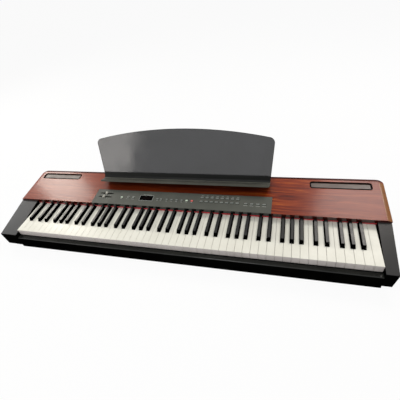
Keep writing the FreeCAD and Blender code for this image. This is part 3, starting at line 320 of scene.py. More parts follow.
# cast epoxy lenses over unlit lamps: deep red under a clear skin
ledLook = {"plain": {"IOR": 1.5, "Coat Weight": 0.6, "Coat Roughness": 0.1}, "dark": "#5a1512",
           "light": "#741d18", "cloud": 2.0, "rough": (0.15, 0.25), "grain": 1.0, "strength": 0.05,
           "height": 0.01}
# smoked cast acrylic of the music rest: grey-brown, see-through, with polished faces
smokeLook = {"plain": {**skin(0.6, 1.49), "Alpha": 0.82}, "dark": "#28292b", "light": "#313235",
             "cloud": 75.0, "rough": (0.04, 0.2), "grain": 30.0, "strength": 0.03, "height": 0.02}
# its milled edges, where one looks into the depth of the sheet: darker and nearly solid
smokeEdgeLook = {**smokeLook, "plain": {**skin(0.12, 1.49), "Alpha": 0.95}, "dark": "#191817",
                 "light": "#211f1e", "rough": (0.15, 0.3)}

woodLooks = {"rosewood_veneer": veneerLook, "veneer_painted_light": paintedLightEndLook, "veneer_painted_shade": paintedShadeEdgeLook,
             "veneer_front_painted_shade": paintedShadeFrontLook}
mouldedLooks = {
    "charcoal_abs": charcoalLook, "abs_painted_shade": paintedShadeBlackLook, "gloss_black_extrusion": railLook,
    "rail_top_painted_light": paintedLightRailTopLook, "console_abs": consoleLook, "black_key_painted_shade": paintedShadeBlackKeyLook,
    "shelf_painted_light": paintedLightShelfLook, "console_front_painted_shade": paintedShadeConsoleFrontLook, "key_front_painted_shade": paintedShadeKeyFrontLook,
    "grille_rim_painted_shadow": paintedShadowGrilleRimLook, "black_fibreboard": boardLook, "grey_button_abs": buttonLook,
    "pale_button_abs": paleButtonLook, "red_button_abs": redButtonLook, "slider_knob_abs": knobLook,
    "acrylic_key_white": whiteKeyLook, "phenolic_key_black": blackKeyLook, "ledge_abs": ledgeLook,
    "foot_rubber": rubberLook, "socket_nylon": socketLook, "frame_nylon": framePlasticLook,
    "circuit_laminate": circuitLook, "red_wool_felt": feltLook, "stop_wool_felt": stopFeltLook,
    "painted_grille_steel": grilleLook, "rod_steel": steelLook, "nickel_plate": nickelLook,
    "turned_brass": brassLook, "blackened_screw_steel": blackScrewLook, "speaker_steel": speakerLook,
    "galvanised_case": supplyLook, "cast_hammer_iron": ironLook, "print_ink": printLook,
    "display_acrylic": displayLook, "display_segment": segmentLook, "led_lens": ledLook,
    "smoked_acrylic": smokeLook, "smoked_acrylic_edge": smokeEdgeLook}
finishes = {name: woodFinish(name, look) for name, look in woodLooks.items()}
finishes.update({name: mouldedFinish(name, look) for name, look in mouldedLooks.items()})
print("finishes:", len(finishes))

slotFinish = {
    "lid_wood": "rosewood_veneer", "black_board": "black_fibreboard",
    "gloss_black_plastic": "gloss_black_extrusion", "charcoal_plastic": "charcoal_abs",
    "console_plastic": "console_abs", "button_grey": "grey_button_abs", "button_pale": "pale_button_abs",
    "display_acrylic": "display_acrylic", "white_key_acrylic": "acrylic_key_white",
    "black_key_plastic": "phenolic_key_black", "smoked_acrylic": "smoked_acrylic",
    "ledge_plastic": "ledge_abs", "grille_metal": "painted_grille_steel", "speaker_metal": "speaker_steel",
    "red_felt": "red_wool_felt", "stop_felt": "stop_wool_felt", "frame_plastic": "frame_nylon",
    "hammer_iron": "cast_hammer_iron", "rod_steel": "rod_steel", "screw_steel": "blackened_screw_steel",
    "insert_brass": "turned_brass", "foot_rubber": "foot_rubber", "socket_plastic": "socket_nylon",
    "circuit_board": "circuit_laminate", "supply_metal": "galvanised_case"}
for name, node in nodes.items():  # every CAD node starts with the finish of its slot
    node.data.materials.clear()
    node.data.materials.append(finishes[slotFinish[slotOf[name]]])


def deselectAll():
    bpy.ops.object.select_all(action="DESELECT")


def activate(piece):
    deselectAll()
    piece.select_set(True)
    bpy.context.view_layer.objects.active = piece


def named(name):  # the object that an operator has just added
    piece = bpy.context.object
    piece.name = name
    piece.data.name = name
    return piece


def applyAll(piece):
    activate(piece)
    for modifier in list(piece.modifiers):
        bpy.ops.object.modifier_apply(modifier=modifier.name)


def addBlock(name, low, high):  # a cube between two corners
    deselectAll()
    middle = [(a + b) / 2 for a, b in zip(low, high)]
    bpy.ops.mesh.primitive_cube_add(size=1, location=middle)
    piece = named(name)
    piece.scale = [b - a for a, b in zip(low, high)]
    bpy.ops.object.transform_apply()
    return piece


def boxAround(low, high, out, foot, top):  # corners that lie out beyond two others along X and Y
    return (low[0] - out[0], low[1] - out[1], foot), (high[0] + out[0], high[1] + out[1], top)


def rework(piece, kind, test, work):
    # edit mode: everything off, then the faces, edges or vertices that pass the test on, then the operators
    activate(piece)
    bpy.ops.object.mode_set(mode="EDIT")
    bpy.ops.mesh.select_mode(type=kind)
    bpy.ops.mesh.select_all(action="DESELECT")
    mesh = bmesh.from_edit_mesh(piece.data)
    mesh.normal_update()
    for part in {"VERT": mesh.verts, "EDGE": mesh.edges, "FACE": mesh.faces}[kind]:
        if test(part):
            part.select_set(True)
    mesh.select_flush_mode()
    bmesh.update_edit_mesh(piece.data)
    work()
    bpy.ops.object.mode_set(mode="OBJECT")


def joinPieces(name, pieces):
    deselectAll()
    for piece in pieces:
        piece.select_set(True)
    bpy.context.view_layer.objects.active = pieces[0]
    bpy.ops.object.join()
    return named(name)


def copyPiece(piece, offset=(0, 0, 0)):  # with a mesh of its own
    twin = piece.copy()
    twin.data = piece.data.copy()
    bpy.context.collection.objects.link(twin)
    twin.data.transform(Matrix.Translation(offset))
    return twin


def putOnLid(piece):  # from the lid's own frame to its place
    activate(piece)
    piece.matrix_world = lidMatrix
    bpy.ops.object.transform_apply()
    return piece


weldGap = 0.004  # corners nearer than this, in mm, are one
flatTurn = 1.0   # faces that turn by less than this, in degrees, are one
sharpTurn = 30   # edges that turn by more than this are rounded
ringTurn = 40    # or by more than this on rings, whose sides turn too
smoothTurn = 50  # turns up to this are shaded smooth


def softenEdges(piece, width, segments=2, angle=sharpTurn):
    rounded = piece.modifiers.new("soft edges", "BEVEL")
    rounded.width = mm(width)
    rounded.segments = segments
    rounded.limit_method = "ANGLE"
    rounded.angle_limit = math.radians(angle)
    rounded.use_clamp_overlap = True
    applyAll(piece)
    smoothAngles(piece)
    flat = piece.modifiers.new("flat faces", "WEIGHTED_NORMAL")
    flat.keep_sharp = True
    flat.weight = 100
    applyAll(piece)


def smoothAngles(piece):
    activate(piece)
    bpy.ops.object.shade_smooth_by_angle(angle=math.radians(smoothTurn))


def softCopy(node, width, segments=2):  # the CAD piece's own shape, merged, with its sharp edges rounded
    piece = bpy.data.objects.new(f"{node}_soft", nodes[node].data.copy())
    bpy.context.collection.objects.link(piece)
    piece.data.name = piece.name
    piece.data.materials.clear()
    activate(piece)
    if piece.data.has_custom_normals:
        bpy.ops.mesh.customdata_custom_splitnormals_clear()
    bpy.ops.object.mode_set(mode="EDIT")
    bpy.ops.mesh.select_mode(type="VERT")
    bpy.ops.mesh.select_all(action="SELECT")
    bpy.ops.mesh.remove_doubles(threshold=mm(weldGap))
    bpy.ops.mesh.dissolve_limited(angle_limit=math.radians(flatTurn))
    bpy.ops.mesh.faces_shade_flat()
    bpy.ops.object.mode_set(mode="OBJECT")
    if width:
        softenEdges(piece, width, segments)
    return piece


def settle(piece, body, finish, slot, *replaced):
    piece.data.materials.clear()
    piece.data.materials.append(finishes[finish])
    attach(piece, body)
    if replaced:
        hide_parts(*replaced)
    return piece


def takePlace(piece, node):
    return settle(piece, bodyOf[node], slotFinish[slotOf[node]], slotOf[node], node)


def soften(node, width, segments=2):
    return takePlace(softCopy(node, width, segments), node)


def islandBoxes(node, view=Matrix()):  # the boxes of a node's separate solids, seen through a matrix
    mesh = bmesh.new()
    mesh.from_mesh(nodes[node].data)
    bmesh.ops.remove_doubles(mesh, verts=mesh.verts, dist=mm(weldGap))
    waiting = set(mesh.verts)
    boxes = []
    for first in mesh.verts:
        if first not in waiting:
            continue
        waiting.discard(first)
        reached = [first]
        for vertex in reached:
            near = [edge.other_vert(vertex) for edge in vertex.link_edges]
            near = [other for other in near if other in waiting]
            waiting.difference_update(near)
            reached.extend(near)
        points = [view @ vertex.co for vertex in reached]
        boxes.append((Vector(map(min, *points)), Vector(map(max, *points))))
    mesh.free()
    return sorted(boxes, key=lambda pair: tuple(pair[0]))


def centerOf(pair):
    return (pair[0] + pair[1]) / 2


def runsAlong(edge, axis):
    return abs((edge.verts[1].co - edge.verts[0].co).normalized()[axis]) > along


def roundCorners(piece, axis, radius, cuts=2):
    rework(piece, "EDGE", lambda edge: runsAlong(edge, axis),
           lambda: bpy.ops.mesh.bevel(offset=radius, segments=cuts))


def openThrough(piece, axis, wide):  # insets both ends, and bridges the largest faces, which lie inside
    rework(piece, "FACE", lambda face: abs(face.normal[axis]) > along,
           lambda: bpy.ops.mesh.inset(thickness=wide))
    largest = max(face.area for face in piece.data.polygons if abs(face.normal[axis]) > along)
    rework(piece, "FACE", lambda face: abs(face.normal[axis]) > along
           and math.isclose(face.calc_area(), largest, rel_tol=0.01),
           lambda: bpy.ops.mesh.bridge_edge_loops())


def faceMiddle(piece, face):
    return sum((piece.data.vertices[i].co for i in face.vertices), Vector()) / len(face.vertices)


def paintWhere(piece, finish, test):  # a second finish on the faces that pass the test
    piece.data.materials.append(finishes[finish])
    for face in piece.data.polygons:
        if test(face):
            face.material_index = len(piece.data.materials) - 1


# edges, the back band of painted shade on the lid and its least end patch are in mm, the rest shares of a
# normal
caseSizes = {"cheekEdge": 1.2, "railEdge": 0.8, "boardEdge": 0.8, "panelEdge": 0.5, "lidEdge": 0.9,
             "paintedShadeBand": 8.0, "cheekFront": 0.7, "lidFlat": 0.999, "lidRound": 0.985, "lidEnd": 0.1,
             "endPatch": 10.0}
# painted shade: the end blocks' fronts and outer sides get the black finish
for node in ("left_end_block", "right_end_block"):
    cheek = soften(node, caseSizes["cheekEdge"], 3)
    paintWhere(cheek, "abs_painted_shade", lambda face: face.normal.y < -caseSizes["cheekFront"]
               or abs(face.normal.x) > along)
rail = soften("front_rail", caseSizes["railEdge"])
# painted light: the rail's upward faces get the grey of its top
paintWhere(rail, "rail_top_painted_light", lambda face: face.normal.z > mostly)
soften("bottom_board", caseSizes["boardEdge"])
soften("rear_panel", caseSizes["panelEdge"], 1)
lidNormal = lidMatrix.to_3x3() @ Vector((0, 0, 1))


def onLidTop(face):
    return face.normal.dot(lidNormal) > caseSizes["lidFlat"]


lid = softCopy("top_cover", 0)
topFaces = [face for face in lid.data.polygons if onLidTop(face)]
lidBack = max(lid.data.vertices[i].co.y for face in topFaces for i in face.vertices)
bandLine = lidBack - mm(caseSizes["paintedShadeBand"])
rework(lid, "FACE", onLidTop, lambda: bpy.ops.mesh.bisect(plane_co=(0, bandLine, 0), plane_no=(0, 1, 0)))
softenEdges(lid, caseSizes["lidEdge"], 3)
takePlace(lid, "top_cover")
# painted light: the round-over at the lid's right end gets the paler, yellower veneer
paintWhere(lid, "veneer_painted_light", lambda face: along < face.normal.dot(lidNormal) < caseSizes["lidRound"]
           and face.normal.x > caseSizes["lidEnd"] and face.area > mm(caseSizes["endPatch"]) ** 2)
# painted shade: the lid's backward faces and the band along its back edge get the darker veneer
paintWhere(lid, "veneer_painted_shade", lambda face: face.normal.y > mostly or (
    face.normal.z > along and faceMiddle(lid, face).y > bandLine))
# painted shade: the lid's upright front faces get the dark, glossy veneer
paintWhere(lid, "veneer_front_painted_shade", lambda face: face.normal.y < -mostly)
print("case: end blocks, rail, boards and lid")

# a white key's front steps back under its lip, below a groove
keySizes = {"whiteEdge": 0.6, "blackEdge": 0.5, "lip": 6.5, "groove": 0.4, "step": 0.9, "frontDeep": 1.0}
keysLow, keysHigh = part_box("keys_c")
lipFoot = keysHigh.z - mm(keySizes["lip"])
grooveFoot = lipFoot - mm(keySizes["groove"])


def onKeyFront(face):
    return face.normal.y < -along and face.calc_center_median().y < keysLow.y + mm(keySizes["frontDeep"])


def underLip(face):
    return onKeyFront(face) and face.calc_center_median().z < grooveFoot


for note in noteNames:
    node = f"keys_{note}"
    isBlack = "sharp" in note
    piece = softCopy(node, 0)
    if not isBlack:
        for height in (lipFoot, grooveFoot):
            rework(piece, "FACE", onKeyFront,
                   lambda: bpy.ops.mesh.bisect(plane_co=(0, 0, height), plane_no=(0, 0, 1)))
        rework(piece, "FACE", underLip,
               lambda: bpy.ops.transform.translate(value=(0, mm(keySizes["step"]), 0)))
    softenEdges(piece, keySizes["blackEdge" if isBlack else "whiteEdge"])
    takePlace(piece, node)
    if isBlack:
        # painted shade: every face of a black key but its top
        paintWhere(piece, "black_key_painted_shade", lambda face: face.normal.z < along)
    else:
        # painted shade: the white keys' upright fronts
        paintWhere(piece, "key_front_painted_shade", lambda face: face.normal.y < -along)
print("keys: 52 white and 36 black")

consoleSizes = {"edge": 0.9, "capEdge": 1.3, "colouredCaps": {6: "pale_button_abs", 7: "red_button_abs"}}
panel = soften("control_panel", consoleSizes["edge"])
# painted shade: the console's upright front faces get the near-black finish
paintWhere(panel, "console_front_painted_shade", lambda face: face.normal.y < -mostly)
buttonBoxes = {group: islandBoxes(group, fromLid) for group in buttonGroups}
for group in buttonGroups:
    caps = soften(group, consoleSizes["capEdge"], 4)
    if group == "song_buttons":
        for i, finish in consoleSizes["colouredCaps"].items():
            capLow, capHigh = buttonBoxes[group][i]
            paintWhere(caps, finish, lambda face: capLow.x < faceMiddle(caps, face).x < capHigh.x)


def addBar(name, foot, long, wide, high, corner=0.35):  # a flat stroke, its corners cut by a share of wide
    bar = addBlock(name, *boxAround((0, 0), (0, 0), (long / 2, wide / 2), foot, foot + high))
    roundCorners(bar, 2, wide * corner)
    return bar


def addRim(name, low, high, corner, wide, soft=0.25, cuts=6):  # a rounded frame between two corners
    rim = addBlock(name, low, high)
    roundCorners(rim, 2, corner, cuts)
    openThrough(rim, 2, wide)
    if soft:
        softenEdges(rim, soft, 2, ringTurn)
    return rim


# Bars stand for the printed words. A row gives its buttons, how many gaps it lies above their middles, and a
# bar's length against a cap's width. The ticks beside a slider are turned bars, thin but for the middle one.
printSizes = {"wide": 1.1, "high": 0.08, "long": 10.0, "gap": 5.6, "titleUp": 3.4, "titleShare": 0.62,
              "rows": [("effect_buttons", -1.45, 1.2), ("voice_buttons_upper", 1.5, 0.7),
                       ("song_buttons", -1.3, 0.8), ("tempo_buttons", -1.1, 1.5),
                       ("tempo_buttons", 1.1, 1.3), ("demo_button", -1.2, 0.9)],
              "ticks": (-2, -1, 0, 1, 2), "tickPitch": 9.6, "tickLong": 3.0, "tickFrom": 5.2,
              "tickThin": 0.6}
glassLow, glassHigh = islandBoxes("display_window", fromLid)[0]
sliderBoxes = {knob: islandBoxes(knob, fromLid)[0] for knob in sliderKnobs}
slotMiddle = centerOf(sliderBoxes["volume_slider_knob"]).x  # this knob rests in the middle of its slot


def printBars():
    first = addBar("console_print", 0, *(mm(printSizes[key]) for key in ("long", "wide", "high")))
    bars = []

    def addCopy(x, y, length, turn=0, share=1):  # a bar of a length, turned, and a share as wide
        bar = copyPiece(first)
        bar.data.transform(Matrix.Translation((x, y, 0)) @ Matrix.Rotation(turn, 4, "Z")
                           @ Matrix.Diagonal((length / mm(printSizes["long"]), share, 1, 1)))
        bars.append(bar)

    for group, away, share in printSizes["rows"]:
        for pair in buttonBoxes[group]:
            middle = centerOf(pair)
            addCopy(middle.x, middle.y + away * mm(printSizes["gap"]), (pair[1] - pair[0]).x * share)
    addCopy(centerOf((glassLow, glassHigh)).x, glassHigh.y + mm(printSizes["titleUp"]),
            (glassHigh - glassLow).x * printSizes["titleShare"])
    away = mm(printSizes["tickFrom"] + printSizes["tickLong"] / 2)
    for pair in sliderBoxes.values():
        for i in printSizes["ticks"]:
            for side in (-away, away):
                addCopy(slotMiddle + i * mm(printSizes["tickPitch"]), centerOf(pair).y + side,
                        mm(printSizes["tickLong"]), math.pi / 2, printSizes["tickThin"] if i else 1)
    bpy.data.objects.remove(first)
    return joinPieces("console_print", bars)


settle(putOnLid(printBars()), "case", "print_ink", "button_pale")

# painted shadow: a black ring round every cap, wider to the front and right, and round both slider slots
paintedShadowSizes = {"wide": 1.0, "high": 0.05, "clear": 0.15, "shift": (0.35, -0.45), "slotLong": 58.0,
            "slotWide": 5.4, "slotEdge": 1.5, "slotCorner": 0.95, "cuts": 3}


def addPaintedShadows():
    frames = []
    wide = mm(paintedShadowSizes["wide"])
    thick = mm(paintedShadowSizes["high"])
    shift = (wide * paintedShadowSizes["shift"][0], wide * paintedShadowSizes["shift"][1], 0)
    for group in buttonGroups:
        capLow, capHigh = buttonBoxes[group][0]
        middle = centerOf((capLow, capHigh))
        half = (capHigh - capLow + Vector((wide, wide, 0))) / 2
        first = addRim("cap_painted_shadows", *boxAround(capLow, capHigh, (wide, wide), 0, thick), wide,
                       wide - mm(paintedShadowSizes["clear"]), 0, paintedShadowSizes["cuts"])
        rework(first, "VERT", lambda vertex: abs(vertex.co.x - middle.x) > half.x
               or abs(vertex.co.y - middle.y) > half.y, lambda: bpy.ops.transform.translate(value=shift))
        for pair in buttonBoxes[group]:
            frames.append(copyPiece(first, centerOf(pair) - middle))
        bpy.data.objects.remove(first)
    half = (mm(paintedShadowSizes["slotLong"] / 2), mm(paintedShadowSizes["slotWide"] / 2))
    for pair in sliderBoxes.values():
        middle = (slotMiddle, centerOf(pair).y)
        frames.append(addRim("slot_painted_shadow", *boxAround(middle, middle, half, 0, thick),
                             half[1] * paintedShadowSizes["slotCorner"], mm(paintedShadowSizes["slotEdge"]), 0,
                             paintedShadowSizes["cuts"]))
    return joinPieces("cap_painted_shadows", frames)


# the rings of painted shadow go on the console in the black finish
settle(putOnLid(addPaintedShadows()), "case", "abs_painted_shade", "console_plastic")

knobSizes = {"high": 5.0, "stem": (4.0, 2.0), "stemInto": 0.5, "grooves": 7, "grooveDeep": 0.5,
             "slope": 1.2}


def addKnob(node):  # a thin slider cap, grooved along its top with both ends sloped down, on its stem
    low, high = sliderBoxes[node]
    lift = high.z - mm(knobSizes["high"])
    knob = addBlock(f"{node}_cap", (low.x, low.y, lift), high)
    rework(knob, "EDGE", lambda edge: runsAlong(edge, 0),
           lambda: bpy.ops.mesh.subdivide(number_cuts=knobSizes["grooves"] - 1))
    pitch = (high.x - low.x) / knobSizes["grooves"]
    rework(knob, "FACE", lambda face: face.normal.z > along and int(
        (face.calc_center_median().x - low.x) / pitch) % 2 == 1,
        lambda: bpy.ops.mesh.extrude_region_move(
            TRANSFORM_OT_translate={"value": (0, 0, -mm(knobSizes["grooveDeep"]))}))
    middle = (low + high) / 2
    endsFrom = pitch * (knobSizes["grooves"] - 1) / 2
    rework(knob, "VERT", lambda vertex: vertex.co.z > middle.z and abs(vertex.co.x - middle.x) > endsFrom,
           lambda: bpy.ops.transform.translate(value=(0, 0, -mm(knobSizes["slope"]))))
    half = [mm(size / 2) for size in knobSizes["stem"]]
    top = lift + mm(knobSizes["stemInto"])
    stem = addBlock(f"{node}_stem", *boxAround(middle, middle, half, low.z, top))
    return putOnLid(joinPieces(f"{node}_cap", [knob, stem]))


for node in sliderKnobs:
    settle(addKnob(node), bodyOf[node], "slider_knob_abs", slotOf[node], node)

# small red domes above the voice and effect buttons: left is a share of a cap's width
lensSizes = {"radius": 0.9, "up": 5.332, "left": 0.32, "over": buttonGroups[3:]}
deselectAll()
bpy.ops.mesh.primitive_uv_sphere_add(segments=12, ring_count=8, radius=mm(lensSizes["radius"]))
dome = named("led_lenses")
rework(dome, "VERT", lambda vertex: True, lambda: bpy.ops.mesh.bisect(
    plane_co=(0, 0, 0), plane_no=(0, 0, 1), clear_inner=True, use_fill=True))
lenses = []
for group in lensSizes["over"]:
    for pair in buttonBoxes[group]:
        middle = centerOf(pair)
        lenses.append(copyPiece(dome, (middle.x - (pair[1] - pair[0]).x * lensSizes["left"],
                                       middle.y + mm(lensSizes["up"]), 0)))
bpy.data.objects.remove(dome)
lensPiece = putOnLid(joinPieces("led_lenses", lenses))
smoothAngles(lensPiece)
settle(lensPiece, "case", "led_lens", "display_acrylic")

# a dark window in a thin pale frame, with three unlit digits of seven strokes each
displaySizes = {"edge": 0.3, "frameWide": 1.0, "frameHigh": 0.3, "digits": (-1, 0, 1), "digitPitch": 10.5,
                "digitHigh": 12.0, "strokeShort": 1.2, "strokeWide": 1.1, "strokeHigh": 0.03}


def addDisplayFrame():
    wide = mm(displaySizes["frameWide"])
    rim = addBlock("display_frame",
                   *boxAround(glassLow, glassHigh, (wide, wide), 0, mm(displaySizes["frameHigh"])))
    openThrough(rim, 2, wide)
    return rim


def addDigits():
    half = mm(displaySizes["digitHigh"] / 2)
    stroke = addBar("display_digits", glassHigh.z, half - mm(displaySizes["strokeShort"]),
                    mm(displaySizes["strokeWide"]), mm(displaySizes["strokeHigh"]))
    level = [(0, up, 0) for up in (1, 0, -1)]
    upright = [(side, up, math.pi / 2) for up in (0.5, -0.5) for side in (-0.5, 0.5)]
    strokes = []
    for digit in displaySizes["digits"]:
        middle = centerOf((glassLow, glassHigh)) + Vector((digit * mm(displaySizes["digitPitch"]), 0, 0))
        for side, up, turn in level + upright:
            part = copyPiece(stroke)
            part.data.transform(Matrix.Translation((middle.x + side * half, middle.y + up * half, 0))
                                @ Matrix.Rotation(turn, 4, "Z"))
            strokes.append(part)
    bpy.data.objects.remove(stroke)
    return joinPieces("display_digits", strokes)


soften("display_window", displaySizes["edge"])
settle(putOnLid(addDisplayFrame()), "case", "print_ink", "button_pale")
settle(putOnLid(addDigits()), "case", "display_segment", "display_acrylic")
print("console: buttons, knobs, lenses, print and display")

# a rim inside the flange that holds it under the lid, a low lip round it, and a perforated sheet sunk in it
grilleSizes = {"flange": 2.7, "rim": 3.4, "corner": 7.6, "pitch": 3.0, "hole": 1.0, "sheet": 0.8,
               "sink": 1.4, "lipOut": 1.2, "lipHigh": 0.6, "lipFoot": 0.02, "lipOverlap": 0.3, "weld": 0.02}


def addSheet(name, low, high):  # one hole in a square, repeated both ways, thickened and stretched to fit
    pitch = mm(grilleSizes["pitch"])
    wide, deep = high[0] - low[0], high[1] - low[1]
    columns, rows = int(wide / pitch), int(deep / pitch)
    deselectAll()
    bpy.ops.mesh.primitive_plane_add(size=pitch)
    sheet = named(name)
    rework(sheet, "FACE", lambda face: True, lambda: bpy.ops.mesh.subdivide(number_cuts=1))
    rework(sheet, "VERT", lambda vertex: vertex.co.length < pitch / 10,
           lambda: bpy.ops.mesh.bevel(offset=mm(grilleSizes["hole"]), affect="VERTICES", segments=2))
    rework(sheet, "FACE", lambda face: face.calc_center_median().length < pitch / 10,
           lambda: bpy.ops.mesh.delete(type="FACE"))
    for count, step in ((columns, (pitch, 0, 0)), (rows, (0, pitch, 0))):
        row = sheet.modifiers.new("row", "ARRAY")
        row.count = count
        row.use_relative_offset = False
        row.use_constant_offset = True
        row.constant_offset_displace = step
        row.use_merge_vertices = True
        row.merge_threshold = mm(grilleSizes["weld"])
    applyAll(sheet)
    thick = sheet.modifiers.new("thickness", "SOLIDIFY")
    thick.thickness = mm(grilleSizes["sheet"])
    thick.offset = -1
    applyAll(sheet)
    stretch = Matrix.Diagonal((wide / (columns * pitch), deep / (rows * pitch), 1, 1))
    sheet.data.transform(Matrix.Translation((low[0], low[1], high[2] - mm(grilleSizes["sink"]))) @ stretch
                         @ Matrix.Translation((pitch / 2, pitch / 2, 0)))
    return sheet


def addGrille(node):
    flange, wide, out, corner = (mm(grilleSizes[key]) for key in ("flange", "rim", "lipOut", "corner"))
    low, high = islandBoxes(node, fromLid)[0]
    low, high = boxAround(low, high, (-flange, -flange), low.z, high.z)
    well = addRim(f"{node}_well", low, high, corner, wide)
    lip = addRim(f"{node}_lip", *boxAround(low, high, (out, out), mm(grilleSizes["lipFoot"]),
                                           mm(grilleSizes["lipHigh"])),
                 corner + out, wide + out - mm(grilleSizes["lipOverlap"]))
    rim = joinPieces(f"{node}_rim", [well, lip])
    sheet = addSheet(f"{node}_sheet", *boxAround(low, high, (-wide, -wide), low[2], high[2]))
    return putOnLid(rim), putOnLid(sheet)


for node in ("speaker_grille_left", "speaker_grille_right"):
    rim, sheet = addGrille(node)
    # painted shadow: the grille's rim and lip
    settle(rim, bodyOf[node], "grille_rim_painted_shadow", slotOf[node], node)
    settle(sheet, bodyOf[node], "painted_grille_steel", slotOf[node])
print("grilles: rims and perforated sheets")

# the lean is in degrees, and panelFlat and level are shares of a face's normal
restSizes = {"panelEdge": 1.2, "ledgeEdge": 0.8, "lean": 23.5, "shelf": 17.0, "panelFlat": 0.97,
             "level": 0.95}
lean = math.radians(restSizes["lean"])
restNormal = Vector((0, -math.cos(lean), math.sin(lean)))
restPanel = soften("music_rest_panel", restSizes["panelEdge"], 3)
paintWhere(restPanel, "smoked_acrylic_edge",
           lambda face: abs(face.normal.dot(restNormal)) < restSizes["panelFlat"])
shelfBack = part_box("music_rest_ledge")[0].y + mm(restSizes["shelf"])
ledge = soften("music_rest_ledge", restSizes["ledgeEdge"], 3)
# painted light: the ledge's shelf and front lip get the mid grey
paintWhere(ledge, "shelf_painted_light", lambda face: face.normal.z > restSizes["level"] or (
    face.normal.z > -mostly and faceMiddle(ledge, face).y < shelfBack))
print("music rest")

# a nut ring's two radii are shares of its socket's half width, and the wide sockets have pins
backSizes = {"ringProud": 0.9, "ringEdge": 0.25, "midiFrom": 9.0, "midiRing": (0.86, 0.72),
             "jackRing": (0.72, 0.48), "pins": 5, "pinTurn": 45, "pinCircle": 4.4, "pinOut": 0.95,
             "pinIn": 0.5, "pinLong": 0.8, "pinSunk": 0.4, "labelUp": 12.0, "labelWide": 8.0,
             "labelHigh": 1.1, "labelProud": 0.08, "labelCorner": 0.4}


def addRing(name, x, z, back, outer, inner, proud, sides=24):  # a turned ring on the back, its axis along Y
    deselectAll()
    bpy.ops.mesh.primitive_cylinder_add(vertices=sides, radius=mm(outer), depth=mm(proud),
                                        rotation=(math.pi / 2, 0, 0), location=(x, back + mm(proud) / 2, z))
    bpy.ops.object.transform_apply()
    ring = named(name)
    openThrough(ring, 1, mm(outer - inner))
    softenEdges(ring, min(backSizes["ringEdge"], proud / 3), 2, ringTurn)
    return ring


def addLabel(x, z):  # a plain bar for the words over a socket
    half = mm(backSizes["labelWide"]) / 2
    foot = z + mm(backSizes["labelUp"])
    label = addBlock("rear_label", (x - half, panelBack, foot),
                     (x + half, panelBack + mm(backSizes["labelProud"]), foot + mm(backSizes["labelHigh"])))
    roundCorners(label, 1, mm(backSizes["labelCorner"]))
    return label


rings = []
pins = []
labels = []
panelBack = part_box("rear_panel")[1].y
for low, high in islandBoxes("jack_sockets"):
    x, z = (low.x + high.x) / 2, (low.z + high.z) / 2
    half = (high.x - low.x) / 2 / mm(1)
    isMidi = half > backSizes["midiFrom"]
    outer, inner = backSizes["midiRing" if isMidi else "jackRing"]
    rings.append(addRing("jack_ring", x, z, high.y, half * outer, half * inner, backSizes["ringProud"]))
    for i in range(backSizes["pins"] if isMidi else 0):
        turn = math.radians(backSizes["pinTurn"] * i)
        pins.append(addRing("midi_pin", x + mm(backSizes["pinCircle"]) * math.cos(turn),
                            z - mm(backSizes["pinCircle"]) * math.sin(turn),
                            high.y - mm(backSizes["pinSunk"]), backSizes["pinOut"], backSizes["pinIn"],
                            backSizes["pinLong"], 10))
    labels.append(addLabel(x, z))
settle(joinPieces("jack_rings", rings), "case", "nickel_plate", "screw_steel")
settle(joinPieces("midi_pins", pins), "case", "turned_brass", "insert_brass")
settle(joinPieces("rear_labels", labels), "case", "print_ink", "button_pale")
otherEdges = {"ac_inlet": 0.4, "power_button": 0.8, "rubber_feet": 0.8, "music_rest_sockets": 0.7,
              "red_felt_strip": 0.5}
for node, width in otherEdges.items():
    soften(node, width)
print("back and underside")

# a white seamless ground in a white room, which look brighter than the light that they give. Places, and the
# sizes of the stage and the lamps, are in metres.
stageLook = {"half": 20.0, "foot": -0.0002, "floor": "#e6e6e6", "floorGlow": 0.93, "sky": 0.4}
lampLook = {
    "ceiling_panel": {"place": (-0.1, 0.5, 2.2), "aim": (0, 0, 0.1), "size": (2.4, 1.4), "power": 5.0},
    "left_window": {"place": (-1.85, 1.02, 1.32), "aim": (-0.5, 0.05, 0.1), "size": (0.36, 0.5),
                    "power": 13.5, "tint": (1, 0.94, 0.85)},
    "right_window": {"place": (0.95, 1.1, 1.45), "aim": (0.6, 0.05, 0.1), "size": (0.6, 0.5),
                     "power": 13.0, "tint": (1, 0.94, 0.88)},
    "front_panel": {"place": (-1.55, -1.6, 0.75), "aim": (-0.25, 0.15, 0.2), "size": (0.65, 0.95),
                    "power": 6.8, "tint": (1, 0.95, 0.9)},
    "left_low": {"place": (-2.35, 0.45, 0.95), "aim": (-0.65, -0.1, 0.1), "size": (0.5, 0.5), "power": 6.5},
    "front_top": {"place": (-0.25, -1.0, 2.4), "aim": (-0.2, 0.05, 0.05), "size": (0.6, 0.9), "power": 18.5}}
cameraLook = {"lens": 26.32, "sensor": 36, "reach": 100, "place": (0.36718, -0.67314, 0.79913),
              "turn": 22.03, "tilt": 42.70, "roll": 12.33}


def whereSeen(tree):  # 1 for rays that a viewer, a mirror or glass would follow
    path = addNode(tree, "ShaderNodeLightPath")
    seen = path.outputs["Is Camera Ray"]
    for other in ("Is Glossy Ray", "Is Transmission Ray"):
        seen = addNode(tree, "ShaderNodeMath", {"operation": "MAXIMUM"},
                       {0: seen, 1: path.outputs[other]}).outputs[0]
    return seen


def addMix(tree, share, unseen, seen, output):  # what lights the piano, and what a viewer sees instead
    mixed = addNode(tree, "ShaderNodeMixShader", links={0: share, 1: unseen.outputs[0], 2: seen.outputs[0]})
    addNode(tree, output, links={"Surface": mixed.outputs[0]})


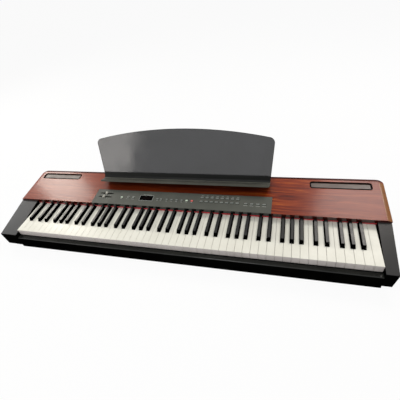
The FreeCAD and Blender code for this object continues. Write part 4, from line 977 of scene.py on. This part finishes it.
def addRoom():
    room = bpy.data.worlds.new("plain_room")
    bpy.context.scene.world = room
    tree = emptyTree(room)
    dim, bright = (addNode(tree, "ShaderNodeBackground", {"Strength": strength, "Color": (1, 1, 1, 1)})
                   for strength in (stageLook["sky"], 1.0))
    addMix(tree, whereSeen(tree), dim, bright, "ShaderNodeOutputWorld")


def paperFinish():  # seamless background paper: matt and even, and blown out to near white where it is seen
    paper = bpy.data.materials.new("seamless_paper")
    tree = emptyTree(paper)
    dull = addNode(tree, "ShaderNodeBsdfDiffuse", {"Color": linear(stageLook["floor"])})
    bright = addNode(tree, "ShaderNodeEmission", {"Color": (1, 1, 1, 1), "Strength": 1.0})
    glow = addNode(tree, "ShaderNodeMath", {"operation": "MULTIPLY", 1: stageLook["floorGlow"]},
                   {0: whereSeen(tree)})
    addMix(tree, glow.outputs[0], dull, bright, "ShaderNodeOutputMaterial")
    return paper


def addLamp(name, look):
    light = bpy.data.lights.new(name, "AREA")
    light.shape = "RECTANGLE"
    light.size, light.size_y = look["size"]
    light.energy = look["power"]
    light.color = look.get("tint", (1, 1, 1))
    lamp = bpy.data.objects.new(name, light)
    bpy.context.collection.objects.link(lamp)
    place = Vector(look["place"])
    lamp.location = place
    lamp.rotation_euler = (Vector(look["aim"]) - place).to_track_quat("-Z", "Y").to_euler()
    lamp.visible_camera = False


addRoom()
deselectAll()
bpy.ops.mesh.primitive_plane_add(size=2 * stageLook["half"], location=(0, 0, stageLook["foot"]))
bpy.ops.object.transform_apply()
floor = named("seamless_floor")
floor.data.materials.append(paperFinish())
for name, look in lampLook.items():
    addLamp(name, look)

lens = bpy.data.cameras.new("viewpoint")
lens.sensor_width = cameraLook["sensor"]
lens.lens = cameraLook["lens"]
lens.clip_end = cameraLook["reach"]
camera = bpy.data.objects.new("viewpoint", lens)
bpy.context.collection.objects.link(camera)
camera.matrix_world = (Matrix.Translation(cameraLook["place"])
                       @ Matrix.Rotation(math.radians(cameraLook["turn"]), 4, "Z")
                       @ Matrix.Rotation(math.radians(90 - cameraLook["tilt"]), 4, "X")
                       @ Matrix.Rotation(-math.radians(cameraLook["roll"]), 4, "Z"))
bpy.context.scene.camera = camera
bpy.context.scene.view_settings.view_transform = "Standard"
print("stage: floor, lamps and camera")
